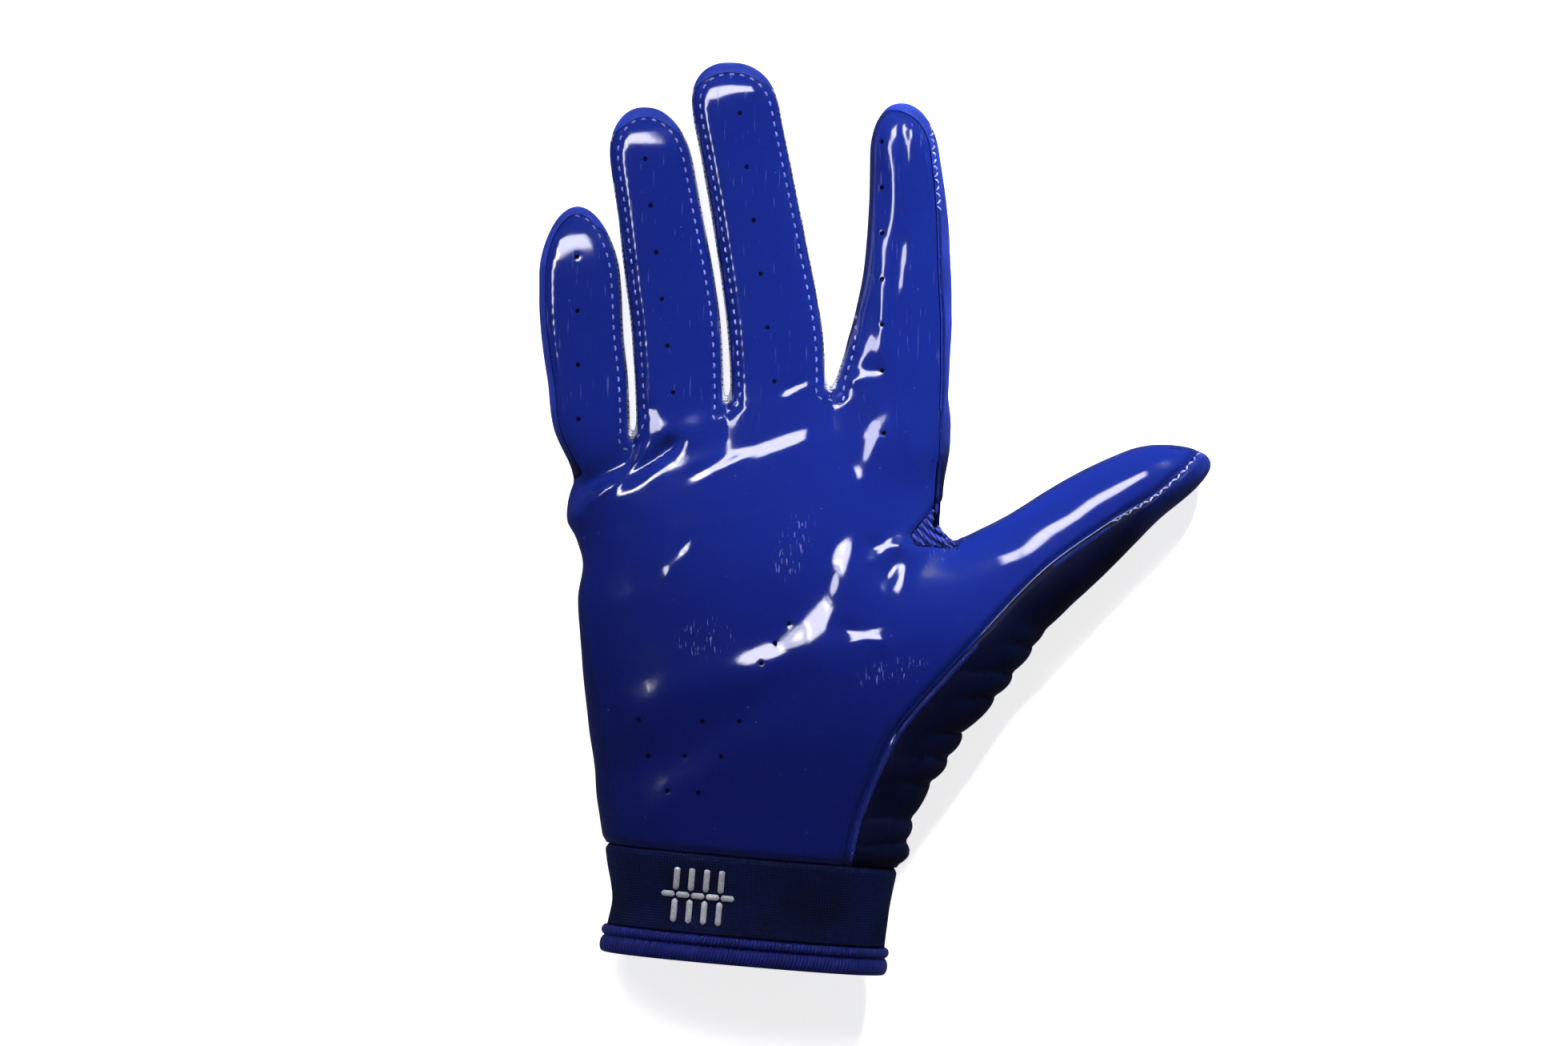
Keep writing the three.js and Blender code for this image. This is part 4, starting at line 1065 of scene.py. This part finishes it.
def bar_plate(u1, v1, u2, v2, wide):
    """A six-sided bar laid on the cuff between two points, domed slightly, with its edge turned down."""
    long = math.hypot(u2 - u1, v2 - v1)
    run = np.array([0, *np.linspace(LACE_POINT, long - LACE_POINT, 7), long])
    half = np.array([0.25, 1, 1, 1, 1, 1, 1, 1, 0.25]) * wide / 2
    off = np.array([-1, -0.97, -0.8, 0, 0.8, 0.97, 1])
    rise = np.array([-0.3, 0.7, 1, 1.08, 1, 0.7, -0.3]) * LACE_HIGH
    at_end = (run == run[0]) | (run == run[-1])
    share = off[None, :] * half[:, None]
    u = u1 + ((u2 - u1) * run[:, None] - (v2 - v1) * share) / long
    v = v1 + ((v2 - v1) * run[:, None] + (u2 - u1) * share) / long
    grid = on_cuff_face(u, v, np.where(at_end[:, None], rise[0], rise[None, :]))
    i, j = np.meshgrid(np.arange(len(run) - 1), np.arange(len(off) - 1), indexing="ij")
    here = i * len(off) + j
    quads = np.stack([here, here + len(off), here + len(off) + 1, here + 1], axis=-1)
    return grid.reshape(-1, 3), quads.reshape(-1, 4)


def gather(parts):
    """Joins several meshes into one."""
    points, faces, count = [], [], 0
    for part_points, part_faces in parts:
        points.append(part_points)
        faces.append(part_faces + count)
        count += len(part_points)
    return np.vstack(points), np.vstack(faces)


def silver_transfer():
    finish = Finish("silver_transfer", Roughness=0.45, Metallic=0.25)
    speck = finish.noise(finish.place(), 3.0, 2)
    worn = speck.ramp(0.35, 0.65)
    finish.feed("Base Color", finish.mix(worn, (0.36, 0.37, 0.40, 1), (0.55, 0.57, 0.60, 1)))
    finish.bump(speck * 0.05)
    return finish.material


LACE_STEP = LACE_LONG / (LACE_COUNT + 1)
stops = LACE_U + (np.arange(LACE_COUNT + 2) - (LACE_COUNT + 1) / 2) * LACE_STEP
plates = [bar_plate(a + LACE_GAP / 2, LACE_V, b - LACE_GAP / 2, LACE_V, LACE_BAR)
          for a, b in zip(stops, stops[1:])]
for u in stops[1:-1]:
    for side in (-1, 1):
        near = LACE_V + side * (LACE_BAR / 2 + LACE_GAP)
        plates.append(bar_plate(u, near, u, LACE_V + side * LACE_CROSS / 2, LACE_BAR))
lace = make_mesh("lace_figure", *gather(plates), silver_transfer())
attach(lace, "root")
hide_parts("cuff_lace_print")

# Stitches: pale thread holds the palm panel down inside each finger's outline and round the crotches.
# Each stitch is a short arch of thread that sinks into the panel at both ends.
STITCH_PITCH = 2.6
STITCH_LONG = 1.35
STITCH_THICK = 0.25
STITCH_INSET = 0.45
THREAD_SIDES = 6
ARCH_RINGS = 7
ARCH_SUNK = 0.12


def strip_line(finger, inset):
    """The sewn line of a finger, up its left side to the tip, and from the tip down its right side."""
    rows = finger["rows"]
    cap = finger["cap"] - finger["band"] - inset
    shoulder = finger["tip"] - finger["cap"]
    foot = max(finger["base"] + 8, 18)
    shaft = np.arange(foot, shoulder, 2.0)
    turn = np.linspace(0, math.pi / 2, 14)
    y = np.concatenate([shaft, shoulder + cap * np.sin(turn) ** (2 / finger["power"])])
    share = np.concatenate([np.ones(len(shaft)), np.cos(turn) ** (2 / finger["power"])])
    left = rows("left", y) + rows("seam_left", y) + inset
    right = rows("right", y) - rows("seam_right", y) - inset
    middle = (left + right) / 2
    half = (right - left) / 2 * share
    up = np.stack([middle - half, y], axis=1)
    return up, np.stack([middle + half, y], axis=1)[::-1]


def headings(points):
    return unit(np.gradient(points, axis=0))


def tube_quads(blocks, rows, sides):
    """Faces of tubes whose points are numbered tube by tube, ring by ring."""
    block, i, j = np.meshgrid(np.arange(blocks), np.arange(rows - 1), np.arange(sides), indexing="ij")
    here = (block * rows + i) * sides
    onward = (j + 1) % sides
    quads = np.stack([here + j, here + onward, here + sides + onward, here + sides + j], axis=-1)
    return quads.reshape(-1, 4)


def thread_arches(points, ahead, normals, long, thick, rise):
    """Short arched threads, one at each point."""
    across = unit(np.cross(normals, ahead))
    parts = []
    for t in np.linspace(-1, 1, ARCH_RINGS):
        slim = math.sqrt(max(0.08, 1 - t**4))
        centre = points + ahead * (t * long / 2) + normals * (rise * (1 - t * t) - ARCH_SUNK)
        parts.append(rings(centre, across, normals, thick * slim, THREAD_SIDES))
    grid = np.stack(parts, axis=1)
    return grid.reshape(-1, 3), tube_quads(len(points), ARCH_RINGS, THREAD_SIDES)


def thread(name, colour, roughness=0.45):
    finish = Finish(name, Roughness=roughness, Specular_IOR_Level=0.3)
    x, y, _ = finish.along(finish.place())
    twist = (x * 14.0 + y * 14.0).sine()
    # Painted shade: the grooves of the thread's twist are painted at 0.4 of its colour.
    dark = tuple(0.4 * part for part in colour[:3]) + (1,)
    finish.feed("Base Color", finish.mix(twist.ramp(-1.0, 0.6), dark, colour))
    finish.bump(twist * 0.03)
    return finish.material


route = []
for number, finger in enumerate(FINGERS):
    up, down_side = strip_line(finger, STITCH_INSET)
    if finger["name"] != "pinky":
        route += list(up)
    if finger["name"] != "index":
        route += list(down_side)
        other = FINGERS[number + 1]
        crotch_x = (finger["rows"]("right", 28) + other["rows"]("left", 28)) / 2
        route.append((crotch_x, knuckle_y(crotch_x) - CROTCH_SEAM - 0.6))
route = np.array(route)
route = route[: len(route) - np.count_nonzero((route[:, 1] > 51) & (route[:, 0] > -11))]
sewn_line = even_line(smooth_line(route, 0.5), STITCH_PITCH)
sewn_points, sewn_normals = lay_on(sewn_line)
sewn = make_mesh("panel_stitches", *thread_arches(sewn_points, headings(sewn_points), sewn_normals,
                                                  STITCH_LONG, STITCH_THICK, 0.30),
                 thread("pale_thread", (0.30, 0.36, 0.85, 1)))
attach(sewn, "root")

# Overlocked seams: blue thread wound tightly over the raw edges along the thumb and the index finger.
# White tacking shows where the thumb's seam runs to its tip.
BEAD_THICK = 0.55
BEAD_PITCH = 0.7
BEAD_STEP = 0.1
BEAD_SIDES = 10


def bead(flat, thick, pitch, sunk):
    """A seam wound with thread along a line seen from above."""
    points, normals = lay_on(even_line(np.array(flat), BEAD_STEP))
    across = unit(np.cross(normals, headings(points)))
    number = np.arange(len(points))
    ends = np.minimum(1, np.minimum(number, number[::-1]) / 12 + 0.15)
    turns = np.linspace(0, 2 * math.pi, BEAD_SIDES, endpoint=False)
    phase = number[:, None] * BEAD_STEP / pitch * math.pi + turns[None, :] * 0.5
    radius = thick * ends[:, None] * (0.72 + 0.33 * np.abs(np.sin(phase)) ** 0.6)
    grid = rings(points - sunk * normals, across, normals, radius[..., None], BEAD_SIDES)
    return grid.reshape(-1, 3), tube_quads(1, len(points), BEAD_SIDES)


def beside(line, off):
    """A line moved sideways, to the left of its direction."""
    ahead = headings(line)
    return line + off * np.stack([-ahead[:, 1], ahead[:, 0]], axis=1)


def to_and_fro(count):
    return np.where(np.arange(count) % 2, 1, -1)[:, None]


def part_of(line, from_x, to_x):
    return line[(line[:, 0] <= from_x) & (line[:, 0] >= to_x)]


seam_line = beside(even_line(THUMB_SEAM, 0.5), 0.9)
index_rows = FINGERS[3]["rows"]
index_y = np.arange(99.0, 0.0, -0.5)
index_x = np.where(index_y > 20, index_rows("right", index_y) - index_rows("seam_right", index_y),
                   PALM("right", index_y) - INDEX_FOOT_SEAM)
index_line = np.stack([index_x + 0.8, index_y], axis=1)
beads = [bead(part_of(seam_line, 59.5, 44.5), BEAD_THICK, BEAD_PITCH, 0.15),
         bead(part_of(seam_line, 26.0, -6.0), BEAD_THICK, BEAD_PITCH, 0.15),
         bead(index_line[index_line[:, 1] < 78], 0.45, 0.6, 0.1)]
overlock = make_mesh("overlock_beads", *gather(beads),
                     thread("overlock_thread", (0.005, 0.016, 0.17, 1), 0.75))
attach(overlock, "root")

tack_line = even_line(part_of(beside(even_line(THUMB_SEAM, 0.5), 0.3), 81.5, 60), 1.5)
tip_line = even_line(index_line[index_line[:, 1] >= 77], 1.7)
tack_parts = []
for flat, slant in ((tack_line, 0.5), (tip_line, 0.9)):
    points, normals = lay_on(flat)
    ahead = headings(points)
    leaning = unit(ahead + slant * np.cross(normals, ahead) * to_and_fro(len(points)))
    tack_parts.append(thread_arches(points, leaning, normals, 1.5, 0.22, 0.35))
tacks = make_mesh("tip_tacking", *gather(tack_parts), thread("white_thread", (0.55, 0.60, 0.95, 1)))
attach(tacks, "root")

# Hem stitches: a zigzag of blue thread in the groove between piping and binding.
# One line of stitches goes all round the arm and holds both tapes down.
HEM_STITCHES = 150
HEM_GROOVE = -22.75
HEM_OUT = 0.25
hem_angles = np.linspace(0, 2 * math.pi, HEM_STITCHES, endpoint=False)
hem_points = on_wrist(np.full(HEM_STITCHES, HEM_GROOVE), np.full(HEM_STITCHES, HEM_OUT), hem_angles)
hem_heads = unit(np.roll(hem_points, -1, axis=0) - np.roll(hem_points, 1, axis=0))
arm = np.array([-math.sin(CUFF_TURN), math.cos(CUFF_TURN), 0])
hem_normals = unit(np.cross(hem_heads, -arm))
zigzag = unit(hem_heads + 0.5 * arm * to_and_fro(HEM_STITCHES))
hem_stitches = make_mesh("hem_stitches", *thread_arches(hem_points, zigzag, hem_normals, 1.5, 0.16, 0.1),
                         thread("hem_thread", (0.012, 0.04, 0.45, 1)))
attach(hem_stitches, "root")
